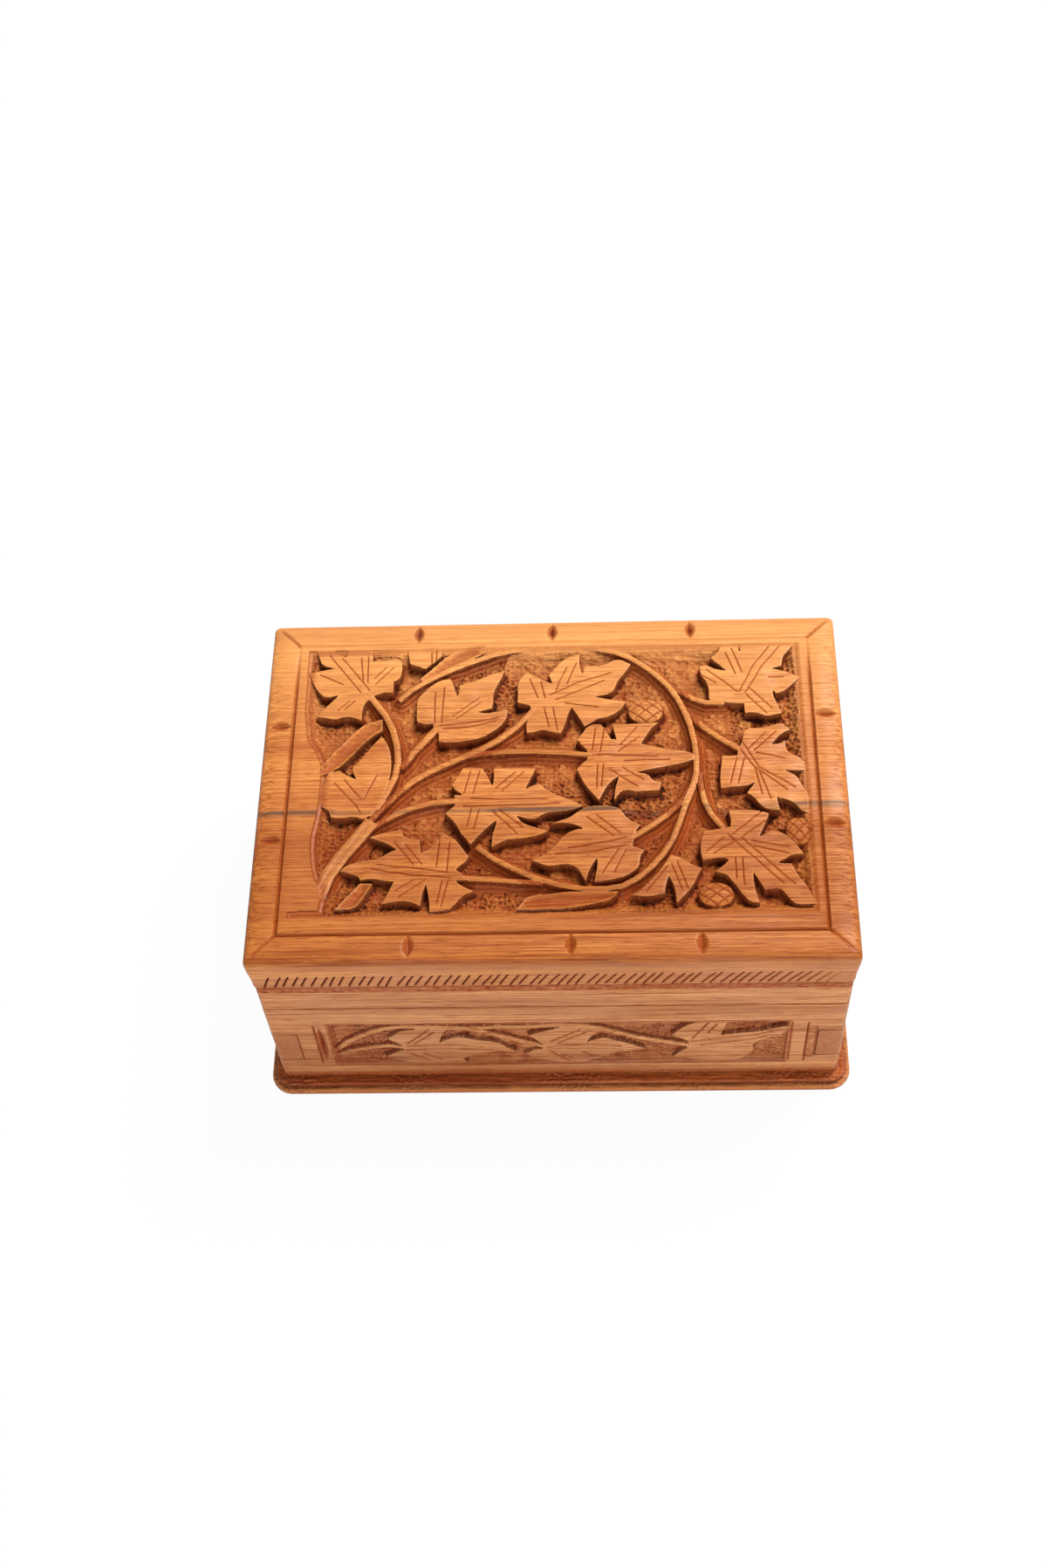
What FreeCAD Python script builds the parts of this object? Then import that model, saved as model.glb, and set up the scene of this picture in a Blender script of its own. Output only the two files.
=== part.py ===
"""Carved walnut keepsake box: a hinged lid on a walled box that stands on a moulded base board.

Sizes are in millimetres. X runs along the box, Y from front to back and Z up.
The origin is the middle of the base board's underside.
"""

import FreeCAD, Part

import math
import os

Vector = FreeCAD.Vector

# Box and lid, over the outside of the walls
BOX_LENGTH = 152.0
BOX_DEPTH = 104.0
WALL_HEIGHT = 41.0
WALL_THICKNESS = 10.0
CORNER_LAP = 5.0  # how much of a front or back board covers the end of a side board
CORNER_RADIUS = 1.5
FOOT_RADIUS = 1.0  # the walls turn under where they meet the base board
SEAM_GAP = 0.25  # the open line between box and lid

# Base board
BASE_THICKNESS = 4.0
BASE_OVERHANG = 3.7
BASE_CORNER_RADIUS = 6.0
BASE_NOSE_HEIGHT = 2.5  # the round nose below the small step in the edge
BASE_NOSE_RADIUS = 1.15
BASE_STEP_INSET = 1.3
BASE_STEP_RADIUS = 0.7

# Frieze strips, let into the walls with dovetailed edges
STRIP_SEAT = 11.0  # from the base board up to the strip's lower edge
STRIP_HEIGHT = 15.0
STRIP_DEPTH = 7.0
DOVETAIL_FLARE = 1.0  # how much wider the strip's back is, at each edge
SLIDE_CLEARANCE = 0.15  # round the strip that slides

# Lid
RAIL_HEIGHT = 9.2
TOP_THICKNESS = 18.1
TOP_OVERHANG = 0.8  # how far the top board stands past the rails, all round
TOP_EDGE_RADIUS = 2.5
REBATE_HEIGHT = 3.2  # the dark channel under the top board's edge
REBATE_DEPTH = 1.5
QUIRK_INSET = 7.0  # the cut line round the carved field
QUIRK_WIDTH = 1.2
QUIRK_DEPTH = 0.9

# Lens-shaped chip cuts across the lid's border
CHIP_LENGTH = 5.0
CHIP_WIDTH = 2.4
CHIP_DEPTH = 0.9
LONG_SIDE_CHIPS = (-36.0, 0.0, 37.0)
SHORT_SIDE_CHIPS = (-17.5, 18.5)

# Carved relief
GROUND_DEPTH = 3.2  # from the lid's leaves down to the ground between them
FRIEZE_DEPTH = 1.2

# Brass butt hinges, set in the seam at the back
HINGE_SETBACK = 19.5  # from the end of the box to the near end of a hinge
HINGE_LENGTH = 25.0
KNUCKLE_RADIUS = 1.9
KNUCKLE_COVER = 0.5  # from the barrel to the back face
KNUCKLE_GAP = 0.2
BARREL_CLEARANCE = 0.3
LEAF_THICKNESS = 1.0
LEAF_MARGIN = 1.2  # from the leaf's edge to the wall's inner face
PIN_RADIUS = 0.9
PIN_CLEARANCE = 0.05
OPEN_ANGLE = 100.0
STOP_EASE = 1.0  # degrees that each bevel at the back is cut past half the opening

# Countersunk screws
LEAF_SCREW_SPACING = 16.0
LEAF_SCREW_HEAD_RADIUS = 1.7
LEAF_SCREW_RADIUS = 0.85
LEAF_SCREW_COVER = 2.0  # wood left between a lid screw's tip and the top board
BASE_SCREW_HEAD_RADIUS = 2.6
BASE_SCREW_RADIUS = 1.3
BASE_SCREW_SINK = 0.3
BASE_SCREW_COVER = 1.5  # wood left between a base screw's tip and the strip's channel
BASE_SCREW_EDGE = 22.0  # from the ends of the long walls to the outer screws
SLOT_WIDTH = 0.5
SLOT_DEPTH = 0.4

# Heights and places that follow from the sizes above
BASE_TOP = BASE_THICKNESS
SEAM = BASE_TOP + WALL_HEIGHT
RAIL_BOTTOM = SEAM + SEAM_GAP
RAIL_TOP = RAIL_BOTTOM + RAIL_HEIGHT
LID_TOP = RAIL_TOP + TOP_THICKNESS
STRIP_BOTTOM = BASE_TOP + STRIP_SEAT
STRIP_TOP = STRIP_BOTTOM + STRIP_HEIGHT
HALF_LENGTH = BOX_LENGTH / 2
HALF_DEPTH = BOX_DEPTH / 2
AXIS_Y = HALF_DEPTH - KNUCKLE_COVER - KNUCKLE_RADIUS
AXIS_Z = SEAM + SEAM_GAP / 2
LEAF_EDGE_Y = HALF_DEPTH - WALL_THICKNESS + LEAF_MARGIN
HINGE_OFFSET = HALF_LENGTH - HINGE_SETBACK - HINGE_LENGTH / 2
PAST = 1.0  # how far a cutter runs past the face that it cuts
SAME = 1e-6
TURN = {"front": 0, "right": 90, "back": 180, "left": 270}  # degrees about Z from the front

# The lid's carving, drawn on a lid of this length and depth, as points from its left and its back edge
DRAWN_LENGTH = 152.0
DRAWN_DEPTH = 104.0
LID_FIELD = (
    (9.7, 8.6), (58, 8.6), (100, 8.6), (142.6, 8.6), (142.8, 50), (143, 92.2), (100, 92.6), (60, 92.6),
    (22, 92.4), (9.6, 92), (9.6, 90.3), (17.5, 90), (18, 85), (15.4, 80), (13.8, 70), (15.4, 60),
    (15.6, 50), (15, 44), (10, 36),
)
LID_LEAVES = (
    # back left, with a stem across it
    ((11.3, 7.5), (14.5, 7.1), (17.5, 9.4), (19.8, 10.9), (20.3, 7.5), (24, 7.2), (27, 8.2), (27.3, 12.3),
     (30.5, 12.2), (33.6, 11.2), (35.3, 12.4), (35.4, 16), (34.9, 18.4), (33.3, 19.3), (33.2, 22.9),
     (29.6, 22.9), (26.2, 25.5), (25.2, 28.3), (25.2, 32), (22.8, 30.7), (20.5, 30.5), (18, 31.5),
     (15.5, 30.8), (13.2, 30.5), (15.2, 27.6), (17.3, 25), (18.7, 23.3), (16.5, 23.9), (14.6, 24.1),
     (12.9, 22.2), (11.4, 19.6), (10.2, 16.2), (13, 15.3), (17.1, 14.6), (13.4, 13.3), (12.6, 11)),
    # inside the big arc, left
    ((40, 25.2), (41.3, 23.3), (43.8, 20.6), (46.3, 19), (48.6, 18.8), (49.4, 20.4), (50.7, 24.8),
     (51.5, 20.7), (54.5, 20), (57.3, 18.6), (60, 17.3), (63.2, 16.3), (62.5, 18.6), (61.4, 20.8),
     (60.2, 24), (60.3, 26.5), (60, 28.6), (56.1, 29.9), (59, 30.3), (61.3, 29.7), (64.3, 29.2),
     (63.9, 32.3), (62, 35), (59.6, 36.9), (57, 38.2), (53.5, 39), (49, 39.4), (46.2, 39), (46.1, 36.2),
     (44.4, 34.6), (44.6, 33.2), (42, 33.5), (40.1, 32.6), (39.9, 28.5)),
    # inside the big arc, back middle
    ((66.9, 26.9), (67, 23.5), (66.8, 21.5), (67.4, 19), (69.4, 16.6), (71, 18.2), (73.5, 19.6),
     (76.2, 20.8), (75.2, 17.8), (77.3, 15.3), (78.4, 13.6), (80.3, 12.2), (83.5, 11.1), (83.4, 14.5),
     (84.2, 18), (85.1, 15.2), (88, 15.2), (90.4, 14.9), (92.3, 13.6), (94.5, 13.1), (97.3, 14.9),
     (95.6, 17.8), (93.8, 20), (93, 22.3), (92, 24.3), (87.5, 25.4), (91, 26.3), (95.8, 27.2),
     (94.8, 29.3), (93, 31), (90.3, 32.3), (88.6, 32.2), (86.5, 33.8), (84.7, 34.9), (82.9, 31.3),
     (81.3, 28.6), (80.3, 31), (79.5, 34.5), (78.5, 37.1), (75.5, 36.4), (73.7, 35.7), (71.5, 36.4),
     (69.5, 36.7), (69.2, 34.4), (69.8, 32.4), (71, 30.6), (70.2, 27.9), (68.6, 27.4)),
    # inside the big arc, right
    ((85.2, 35.3), (87, 34.4), (89.2, 34.5), (90.5, 37), (91.8, 39.3), (93.2, 39.4), (92.6, 36.8),
     (92.2, 34.6), (96, 34.5), (100, 34.4), (104.4, 34), (102.3, 36), (100.8, 38.5), (99.6, 40.7),
     (103, 41.8), (107, 42.9), (110.5, 43.2), (113.5, 44.2), (113.5, 45.9), (110, 47.2), (106.5, 47.8),
     (103.8, 48.4), (98, 49.8), (101.2, 50.4), (102.4, 52.4), (104.6, 53), (104, 55.3), (101, 55.4),
     (98, 55.7), (95.2, 55), (93.5, 56.2), (92.3, 58.3), (92.7, 54.5), (93.7, 50.8), (91.6, 52.3),
     (90, 54.7), (88.4, 58.2), (86.6, 56), (85, 53.7), (83.8, 51.3), (82.7, 48.6), (84, 46.7),
     (85.6, 45.2), (85.6, 42.7), (83.9, 40.9), (82.8, 39.1), (84.2, 37.2)),
    # back right
    ((117.9, 26.6), (118.1, 24), (117.6, 21.3), (116, 18.6), (115.8, 16), (117.5, 15.5), (119.8, 16.9),
     (122.9, 17.6), (121.2, 15.6), (118.8, 13), (121, 11.2), (121.7, 9), (123.5, 7.9), (126, 8),
     (126.7, 11.9), (127.4, 8.3), (132, 7.4), (138, 7.1), (141.7, 8.7), (139.8, 11.2), (138.2, 13),
     (137.7, 16.2), (134.9, 17), (138, 17.9), (142.2, 20), (139.8, 23), (137.2, 24.9), (135.7, 25.1),
     (134.9, 23.8), (135, 26), (136, 29), (136.9, 31.7), (132.8, 32.6), (131.3, 31.7), (129.3, 31.2),
     (127.3, 31.4), (127.2, 28.3), (122, 28)),
    # right middle
    ((126.1, 40.6), (126.8, 37.2), (128, 36.3), (132, 36.2), (136.6, 35), (138.9, 37), (136.2, 38.4),
     (133.6, 41.7), (135.6, 41.5), (137.4, 40.4), (137.2, 42.6), (138.4, 44.6), (141.5, 46.2),
     (142.3, 49.8), (139, 49.9), (136.6, 49.8), (139.6, 51.6), (140.6, 54), (142.2, 57), (142.2, 63),
     (140.4, 62.3), (138.8, 60), (136.3, 58.5), (134.6, 58.3), (134.1, 57), (134.4, 60), (134.8, 62),
     (131.8, 61.8), (129.8, 60.4), (128.4, 58), (126.6, 56.6), (129, 53.2), (126.8, 54.4), (124.4, 54.7),
     (120, 55), (119.9, 51.5), (120.6, 46), (120.6, 45), (124.6, 45), (125, 43)),
    # front right
    ((119.2, 67.4), (121.9, 66.9), (122.2, 64.5), (121.6, 61.7), (126, 61.8), (129.8, 62.2), (131.9, 63),
     (131, 65.4), (129.9, 68), (129, 70), (130.6, 69.1), (132.4, 68.1), (134.6, 68.6), (136.6, 70),
     (138.2, 72.2), (140, 75.1), (137.3, 75.2), (135, 76.7), (133.2, 77.8), (136.8, 78), (137.6, 80),
     (138.6, 82.4), (140, 84), (141.2, 87), (142.6, 89.9), (137.3, 89.9), (135.7, 88.2), (134.4, 86.1),
     (133.2, 85), (129.7, 85.4), (128.3, 82.6), (127, 80.2), (127, 83), (127.4, 86), (128.1, 89.2),
     (126, 89), (124.4, 87.2), (122.9, 84.8), (121.4, 82.4), (120, 80.7), (117.4, 80), (119.6, 78.4),
     (121.1, 76.7), (119.4, 75.7), (114.5, 76.6), (114, 73.5), (114.3, 70.6), (115.2, 68), (117.2, 67.7)),
    # front, a half leaf between the big arc and the berry
    ((106.5, 74.9), (109, 75.8), (111.6, 77.9), (114.2, 79), (113.2, 80.8), (112.2, 83.2), (110.8, 85.4),
     (107.6, 89), (107.3, 84.6), (105.8, 80.9), (104.8, 84), (104.6, 86.2), (101, 87), (96.5, 86.6),
     (99, 84.8), (101.5, 82), (104.2, 78.6)),
    # front middle
    ((97.4, 68.1), (98.9, 65.8), (96.5, 64.6), (95.2, 63.3), (94.2, 61.4), (92.4, 60.1), (88, 59.9),
     (84.8, 60.3), (82.4, 62), (80.2, 63.8), (76, 65), (79.5, 64.9), (82.4, 65.5), (84.4, 66.8),
     (82, 67.2), (80, 68.3), (78.6, 69.4), (77.6, 71.2), (75.2, 73.6), (73.4, 74.8), (71.2, 76),
     (74.5, 77.5), (76.5, 77.8), (78.5, 77.2), (80.6, 77.2), (82.2, 78), (83.4, 79.3), (84.8, 82.4),
     (85.9, 78.6), (87.8, 75.4), (87.9, 78), (87, 82.6), (91, 82.1), (94.2, 81.3), (96.6, 79.9),
     (98.4, 78.3), (98.6, 75.2), (99.8, 73.4), (96.8, 72.2)),
    # middle
    ((50.8, 56), (53.2, 56), (51, 54.4), (50.1, 53), (51.5, 50.4), (52.9, 47.6), (55, 47.6), (57.9, 47.8),
     (59.4, 50.4), (60.7, 53.5), (61.1, 50.5), (61, 47.9), (64.5, 47.9), (68, 47.8), (71.9, 48.1),
     (70.8, 50.7), (69.2, 54.7), (71, 53.5), (73.2, 53), (74.6, 54.6), (76.2, 55.7), (80, 57.5),
     (84.2, 59.9), (82, 60.8), (79.5, 61.3), (76, 61.5), (74, 62.1), (72.3, 63.6), (70, 63.5),
     (66.9, 62.5), (68.6, 64.7), (70.6, 65.8), (75.3, 67.4), (73, 68.6), (70, 69.2), (66.5, 69.6),
     (64.3, 69.8), (60.8, 72), (61, 68.4), (61.6, 66), (62.1, 63.7), (60, 65.4), (58, 67.8), (55.4, 71.2),
     (54.4, 69.6), (53, 67.9), (51.8, 65.4), (50.4, 63.4), (48.6, 61.8), (50, 60.2), (51.3, 58.9)),
    # front left
    ((22.3, 78.5), (24, 76.9), (27.3, 75.7), (31.8, 75.2), (34.7, 73.1), (36.5, 72.4), (35, 71.2),
     (33, 69.9), (29.2, 68.6), (32, 67.5), (35, 66.8), (37.2, 66.5), (38.6, 68.9), (42.2, 69.2),
     (42.7, 73.4), (44.8, 72.4), (46.8, 70), (48.4, 67.6), (50, 68.5), (51.6, 69.6), (52.8, 71.5),
     (55, 74.6), (54.4, 76), (52.9, 77.3), (51.8, 78.5), (54, 80), (55, 81.6), (51.8, 81.6), (53, 83),
     (56.6, 85), (54.4, 85.7), (53, 87.1), (51.8, 88.8), (50.4, 90.3), (45.6, 90.7), (45.5, 87.5),
     (44.4, 82.5), (43.5, 85.5), (43.2, 88.9), (40.5, 87.7), (38, 87.4), (33.3, 88.2), (34.6, 86),
     (36.2, 81.8), (33.5, 81.4), (30.5, 80.7), (27.6, 81.3), (27, 79.8)),
    # left middle
    ((30.9, 37), (33, 40.5), (33.8, 44.5), (33.9, 48.5), (33.2, 52.5), (31.6, 57), (30, 61.3), (27.2, 63),
     (25.2, 62), (21.8, 62.5), (18.9, 62.3), (18.3, 60.2), (16.2, 59), (16, 55.5), (16.4, 51),
     (17.2, 48.9), (20.2, 47.6), (22.6, 49.6), (25, 50.8), (23.7, 48), (24, 46.2), (25.6, 44.9),
     (26.6, 43), (28, 41)),
    # bracts
    ((36.8, 9.5), (40.5, 7.6), (45.4, 7.4), (46.2, 11), (44.5, 12.6), (41.8, 15.2), (37.5, 13.4)),
    ((40.5, 18.5), (43.5, 15.5), (46.5, 12), (50.5, 9), (54, 7.2), (58.9, 6.9), (58, 9.5), (56, 11.3),
     (50, 14.5), (45, 17.6), (41, 19.5)),
    ((30.8, 31.6), (26.6, 33), (23.4, 35.9), (20.6, 39.6), (18.2, 42.3), (15.2, 46.5), (13.6, 49),
     (16.5, 49.4), (19.8, 47.2), (22.4, 44.4), (25, 41), (28, 37.4), (31, 35.2)),
    ((70, 86.6), (75, 86), (82, 85.3), (93, 85.3), (92, 87.3), (88, 88.7), (84, 89.5), (80, 90.2),
     (72, 90.4), (67.5, 90.4), (68.8, 88.4)),
    ((21.5, 89.8), (24, 86.8), (27.6, 82.2), (30.8, 82.4), (29, 86), (26.6, 89.6)),
)
# each stem's width, then points along its middle
LID_STEMS = (
    (2.0, ((24, 19.5), (26.5, 23), (29, 26.5), (31.6, 30.2), (33.8, 35), (35.1, 40), (35.6, 45), (35, 50),
           (33, 55), (30.5, 60))),
    (1.7, ((35, 25.5), (38, 22.3), (42, 19.4), (46, 17), (50, 15), (55, 12.8), (60, 10.8), (65, 9.6),
           (70, 8.9), (76, 8.4), (82, 8.5), (88, 9.3), (93, 10.4), (97, 12.4), (100.5, 15), (104, 18.3),
           (107, 21.8), (109.5, 26), (111.3, 30.5), (112.7, 35), (113.6, 40), (114, 45), (113.8, 50),
           (112.6, 55), (110.6, 60), (109, 65), (107.2, 70), (104.6, 74.4), (101.4, 78.4), (98, 81.5),
           (94, 83.8), (90, 84.5), (84, 84.4), (78, 83.2), (72, 81.1), (66, 78), (61, 75), (57, 71.6))),
    (4.4, ((17, 86.5), (19, 80), (22.4, 74), (26.4, 68.4), (29.6, 63.6))),
    (1.9, ((28, 65), (31.8, 60), (36, 55), (40, 51.2), (45, 48), (50, 45.4), (57, 42), (62, 38.8),
           (66.4, 35), (70, 30.8), (72, 28))),
    (1.8, ((26.5, 69), (31, 64.6), (35, 62), (40, 59.6), (45, 58.2), (52, 57.6))),
    (1.7, ((54, 43.8), (58, 43), (64, 42.5), (72, 42.5), (79, 43), (87, 44.1))),
    (2.2, ((36.4, 47.4), (39.4, 42.6), (42.4, 38.8), (45.6, 34.6))),
    (1.6, ((108, 23), (110.8, 24.4), (113.4, 26.3), (117, 27.7), (122, 27.8))),
    (1.7, ((111.6, 31), (114, 33.6), (117.4, 36.8), (121, 39.8), (125.6, 43))),
    (1.7, ((114.6, 50), (114.9, 55), (115.7, 59), (117.2, 62.8), (120.2, 67.2))),
    (1.7, ((113.4, 52.4), (110.4, 58), (106.4, 62.4), (101.8, 66), (96, 70))),
    (1.5, ((52.5, 80.9), (60, 81.4), (66, 82), (74, 82.6))),
)
# each berry's middle and half widths
LID_BERRIES = (((101, 30), (4.6, 3.9)), ((139.2, 68), (3.3, 4.1)), ((117.6, 86.4), (4.4, 3.5)))

# The frieze's carving, as points from the left end of the front and down from the lid's upper edge
FRIEZE_DATUM = 64.1  # where the base board's top is in that drawing
FRIEZE_STRETCH = 1.1  # the carving is this much taller than that drawing
FRIEZE_FIELD = ((15.5, 35.4), (137.4, 35.4), (137.4, 57.6), (15.5, 57.6))
FRIEZE_LEAVES = (
    ((34.9, 47.6), (33, 45.4), (31, 43.2), (33.2, 41.3), (34.6, 39.4), (38, 38.5), (43, 38.3),
     (47.4, 38.4), (45.8, 41), (44.5, 45.8), (47, 44), (49.5, 42.6), (52.4, 43.2), (55, 44.6),
     (58.5, 45.4), (61, 46.4), (62.5, 48.6), (65, 50.4), (60, 50.9), (55, 51.8), (53, 53.4), (50.2, 55),
     (51.5, 56.8), (48, 57.4), (38, 57.4), (34.6, 55.6), (32.8, 54.5), (29.5, 53.3), (33, 50.8),
     (35, 49.8)),
    ((72.6, 48), (71.8, 46.6), (70, 44), (68.6, 42.2), (71, 41), (74, 39.3), (76.5, 38.3), (80, 38),
     (84, 38.4), (88.2, 39.4), (85.4, 42.6), (83.9, 46.6), (86, 45), (88.6, 43.7), (91.5, 45.2),
     (94.5, 46.8), (99.5, 50.3), (95, 51.2), (91, 52.2), (88.6, 54.2), (85.5, 55.6), (82, 57.4),
     (77.5, 57.4), (73, 56.2), (69.9, 54.9), (67.3, 52.2), (69.6, 50.6), (72.4, 49.6)),
    ((111.4, 48.2), (110.6, 45.4), (106.6, 42.9), (108.6, 39.6), (110.4, 37.4), (113, 35.9), (121, 36),
     (120.4, 38.2), (119.4, 43), (124, 41.8), (129, 41.6), (133, 39.6), (137.2, 38.4), (137, 41.5),
     (134, 43.6), (130.4, 45.6), (128, 48.6), (128.6, 51.5), (126.4, 55), (124, 56.8), (118, 57.3),
     (113.8, 56.7), (110.5, 55.2), (107, 54.9), (109.2, 51.6), (111.2, 49.4)),
)
FRIEZE_STEMS = (
    (1.6, ((15.6, 50.5), (18, 48), (20, 45.3), (23, 42.8), (27, 40), (31, 38.2), (35, 37.3), (40, 37.4),
           (45, 37.8), (50, 38.2), (55, 39.4), (58, 41), (62, 43), (66, 45.3), (70, 47.5), (72.6, 48.8))),
    (1.4, ((15.6, 52.6), (20, 50.3), (26, 48.5), (31, 47.6), (35, 48.7))),
    (1.6, ((52, 38.6), (60, 38), (66, 37.9), (72, 37.6), (77, 37.2), (83, 37.6), (88, 39), (92, 41.4),
           (97, 44), (103, 46.2), (111.4, 48.9))),
)
SIDE_FRIEZE_SHIFT = -13.0  # moves the first two leaves to the middle of the shorter sides
SIDE_FRIEZE_FIELD = ((12, 35.4), (92, 35.4), (92, 57.6), (12, 57.6))


def block_between(x, y, z):
    """A box from the low to the high value of each pair."""
    return Part.makeBox(x[1] - x[0], y[1] - y[0], z[1] - z[0], Vector(x[0], y[0], z[0]))


def centred_block(length, depth, bottom, top):
    return block_between((-length / 2, length / 2), (-depth / 2, depth / 2), (bottom, top))


def upright_edges(shape):
    return [e for e in shape.Edges if e.BoundBox.XLength + e.BoundBox.YLength < SAME]


def edges_at(shape, height):
    def off(edge):
        return max(abs(edge.BoundBox.ZMin - height), abs(edge.BoundBox.ZMax - height))

    return [e for e in shape.Edges if off(e) < SAME]


def rounded_block(length, depth, bottom, top, corner_radius):
    block = centred_block(length, depth, bottom, top)
    return block.makeFillet(corner_radius, upright_edges(block))


def prism_along_x(points, start, end):
    """A solid from an outline of (y, z) points, from start to end along X."""
    outline = [Vector(start, y, z) for y, z in points]
    return Part.Face(Part.makePolygon(outline + outline[:1])).extrude(Vector(end - start, 0, 0))


def rectangle_at(inset, height):
    """The box's plan outline moved in by inset, as a wire."""
    x, y = HALF_LENGTH - inset, HALF_DEPTH - inset
    corners = [Vector(sx * x, sy * y, height) for sx, sy in ((-1, -1), (1, -1), (1, 1), (-1, 1))]
    return Part.makePolygon(corners + corners[:1])


def one_solid(shape):
    """The single clean solid that a cut or join has left."""
    clean = shape.removeSplitter()
    if len(clean.Solids) != 1:
        raise ValueError(f"expected one solid and found {len(clean.Solids)}")
    return clean.Solids[0]


def four_boards(form, bottom, top):
    """Splits a hollow block into its front, back, left and right boards, lapped at the corners."""
    inner_x, inner_y = HALF_LENGTH - WALL_THICKNESS, HALF_DEPTH - WALL_THICKNESS
    lap_y = HALF_DEPTH - CORNER_LAP
    ring = form.cut(centred_block(2 * inner_x, 2 * inner_y, bottom - PAST, top + PAST))
    height = (bottom - PAST, top + PAST)
    boards = {}
    for name, side in (("front", -1), ("back", 1)):
        face_y = side * HALF_DEPTH
        lap = block_between((-HALF_LENGTH, HALF_LENGTH), sorted((side * lap_y, face_y)), height)
        middle = block_between((-inner_x, inner_x), sorted((side * inner_y, face_y)), height)
        boards[name] = ring.common(lap.fuse(middle))
    for name, side in (("left", -1), ("right", 1)):
        region = block_between(sorted((side * inner_x, side * HALF_LENGTH)), (-lap_y, lap_y), height)
        boards[name] = ring.common(region)
    return boards


# Walls and frieze strips

def wall_form():
    """The outside of the four walls as one block, with its foot turned under."""
    block = rounded_block(BOX_LENGTH, BOX_DEPTH, BASE_TOP, SEAM, CORNER_RADIUS)
    foot = centred_block(BOX_LENGTH, BOX_DEPTH, BASE_TOP, SEAM)
    return block.common(foot.makeFillet(FOOT_RADIUS, edges_at(foot, BASE_TOP)))


def strip_channel(side, clearance=0.0):
    """The dovetailed space for one strip. Side strips run through to the front and back faces."""
    runs_across = side in ("front", "back")
    reach = HALF_DEPTH if runs_across else HALF_LENGTH
    half_run = HALF_LENGTH - STRIP_DEPTH if runs_across else HALF_DEPTH
    back = STRIP_DEPTH - clearance
    low, high = STRIP_BOTTOM + clearance, STRIP_TOP - clearance
    outline = [
        (-reach, low),
        (-reach + back, low - DOVETAIL_FLARE),
        (-reach + back, high + DOVETAIL_FLARE),
        (-reach, high),
    ]
    channel = prism_along_x(outline, -half_run, half_run)
    channel.rotate(Vector(0, 0, 0), Vector(0, 0, 1), TURN[side])
    return channel


def walls_and_strips():
    form = wall_form()
    boards = four_boards(form, BASE_TOP, SEAM)
    strips = {}
    for side in ("front", "back", "left", "right"):
        clearance = SLIDE_CLEARANCE if side == "right" else 0.0
        strips[side] = strip_channel(side, clearance).common(form)
        channel = strip_channel(side)
        boards = {name: board.cut(channel) for name, board in boards.items()}
    for side in TURN:
        relief = frieze_relief(side)
        strips[side] = strips[side].cut(relief)
        boards[side] = boards[side].cut(relief)
    return boards, strips


# Carving

def band_outline(width, points):
    """The outline of a stem with an even width along its middle points."""
    near, far = [], []
    for i, (x, y) in enumerate(points):
        before, after = points[max(i - 1, 0)], points[min(i + 1, len(points) - 1)]
        run, rise = after[0] - before[0], after[1] - before[1]
        reach = width / 2 / math.hypot(run, rise)
        near.append((x - rise * reach, y + run * reach))
        far.append((x + rise * reach, y - run * reach))
    return near + far[::-1]


def oval_outline(middle, half_widths, count=24):
    outline = []
    for step in range(count):
        turn = 2 * math.pi * step / count
        across, down = half_widths[0] * math.cos(turn), half_widths[1] * math.sin(turn)
        outline.append((middle[0] + across, middle[1] + down))
    return outline


def relief_cutter(field, islands, place, sink):
    """What the carver takes away: the field less its islands, sunk along a vector.

    Place turns a drawn point into a point in space.
    """
    def face(outline):
        corners = [place(*point) for point in outline]
        return Part.Face(Part.makePolygon(corners + corners[:1]))

    ground = face(field).cut([face(island) for island in islands])
    return [piece.extrude(sink) for piece in ground.Faces]


def lid_relief():
    def place(across, down):
        x = BOX_LENGTH * (across / DRAWN_LENGTH - 0.5)
        return Vector(x, BOX_DEPTH * (0.5 - down / DRAWN_DEPTH), LID_TOP - GROUND_DEPTH)

    islands = list(LID_LEAVES)
    islands += [band_outline(*stem) for stem in LID_STEMS]
    islands += [oval_outline(*berry) for berry in LID_BERRIES]
    return relief_cutter(LID_FIELD, islands, place, Vector(0, 0, GROUND_DEPTH + PAST))


def frieze_relief(side):
    """The frieze of one side, cut at the front and turned to its place."""
    long_side = side in ("front", "back")
    reach = HALF_DEPTH if long_side else HALF_LENGTH
    length = BOX_LENGTH if long_side else BOX_DEPTH
    drawn = DRAWN_LENGTH if long_side else DRAWN_DEPTH
    shift = 0.0 if long_side else SIDE_FRIEZE_SHIFT

    def place(across, down):
        x = length * (across / drawn - 0.5)
        z = BASE_TOP + FRIEZE_STRETCH * (FRIEZE_DATUM - down)
        return Vector(x, -reach + FRIEZE_DEPTH, z)

    leaves = FRIEZE_LEAVES if long_side else FRIEZE_LEAVES[:2]
    islands = list(leaves) + [band_outline(*stem) for stem in FRIEZE_STEMS]
    islands = [[(x + shift, y) for x, y in island] for island in islands]
    field = FRIEZE_FIELD if long_side else SIDE_FRIEZE_FIELD
    cutters = relief_cutter(field, islands, place, Vector(0, -FRIEZE_DEPTH - PAST, 0))
    for cutter in cutters:
        cutter.rotate(Vector(0, 0, 0), Vector(0, 0, 1), TURN[side])
    return cutters


# Base board

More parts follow.
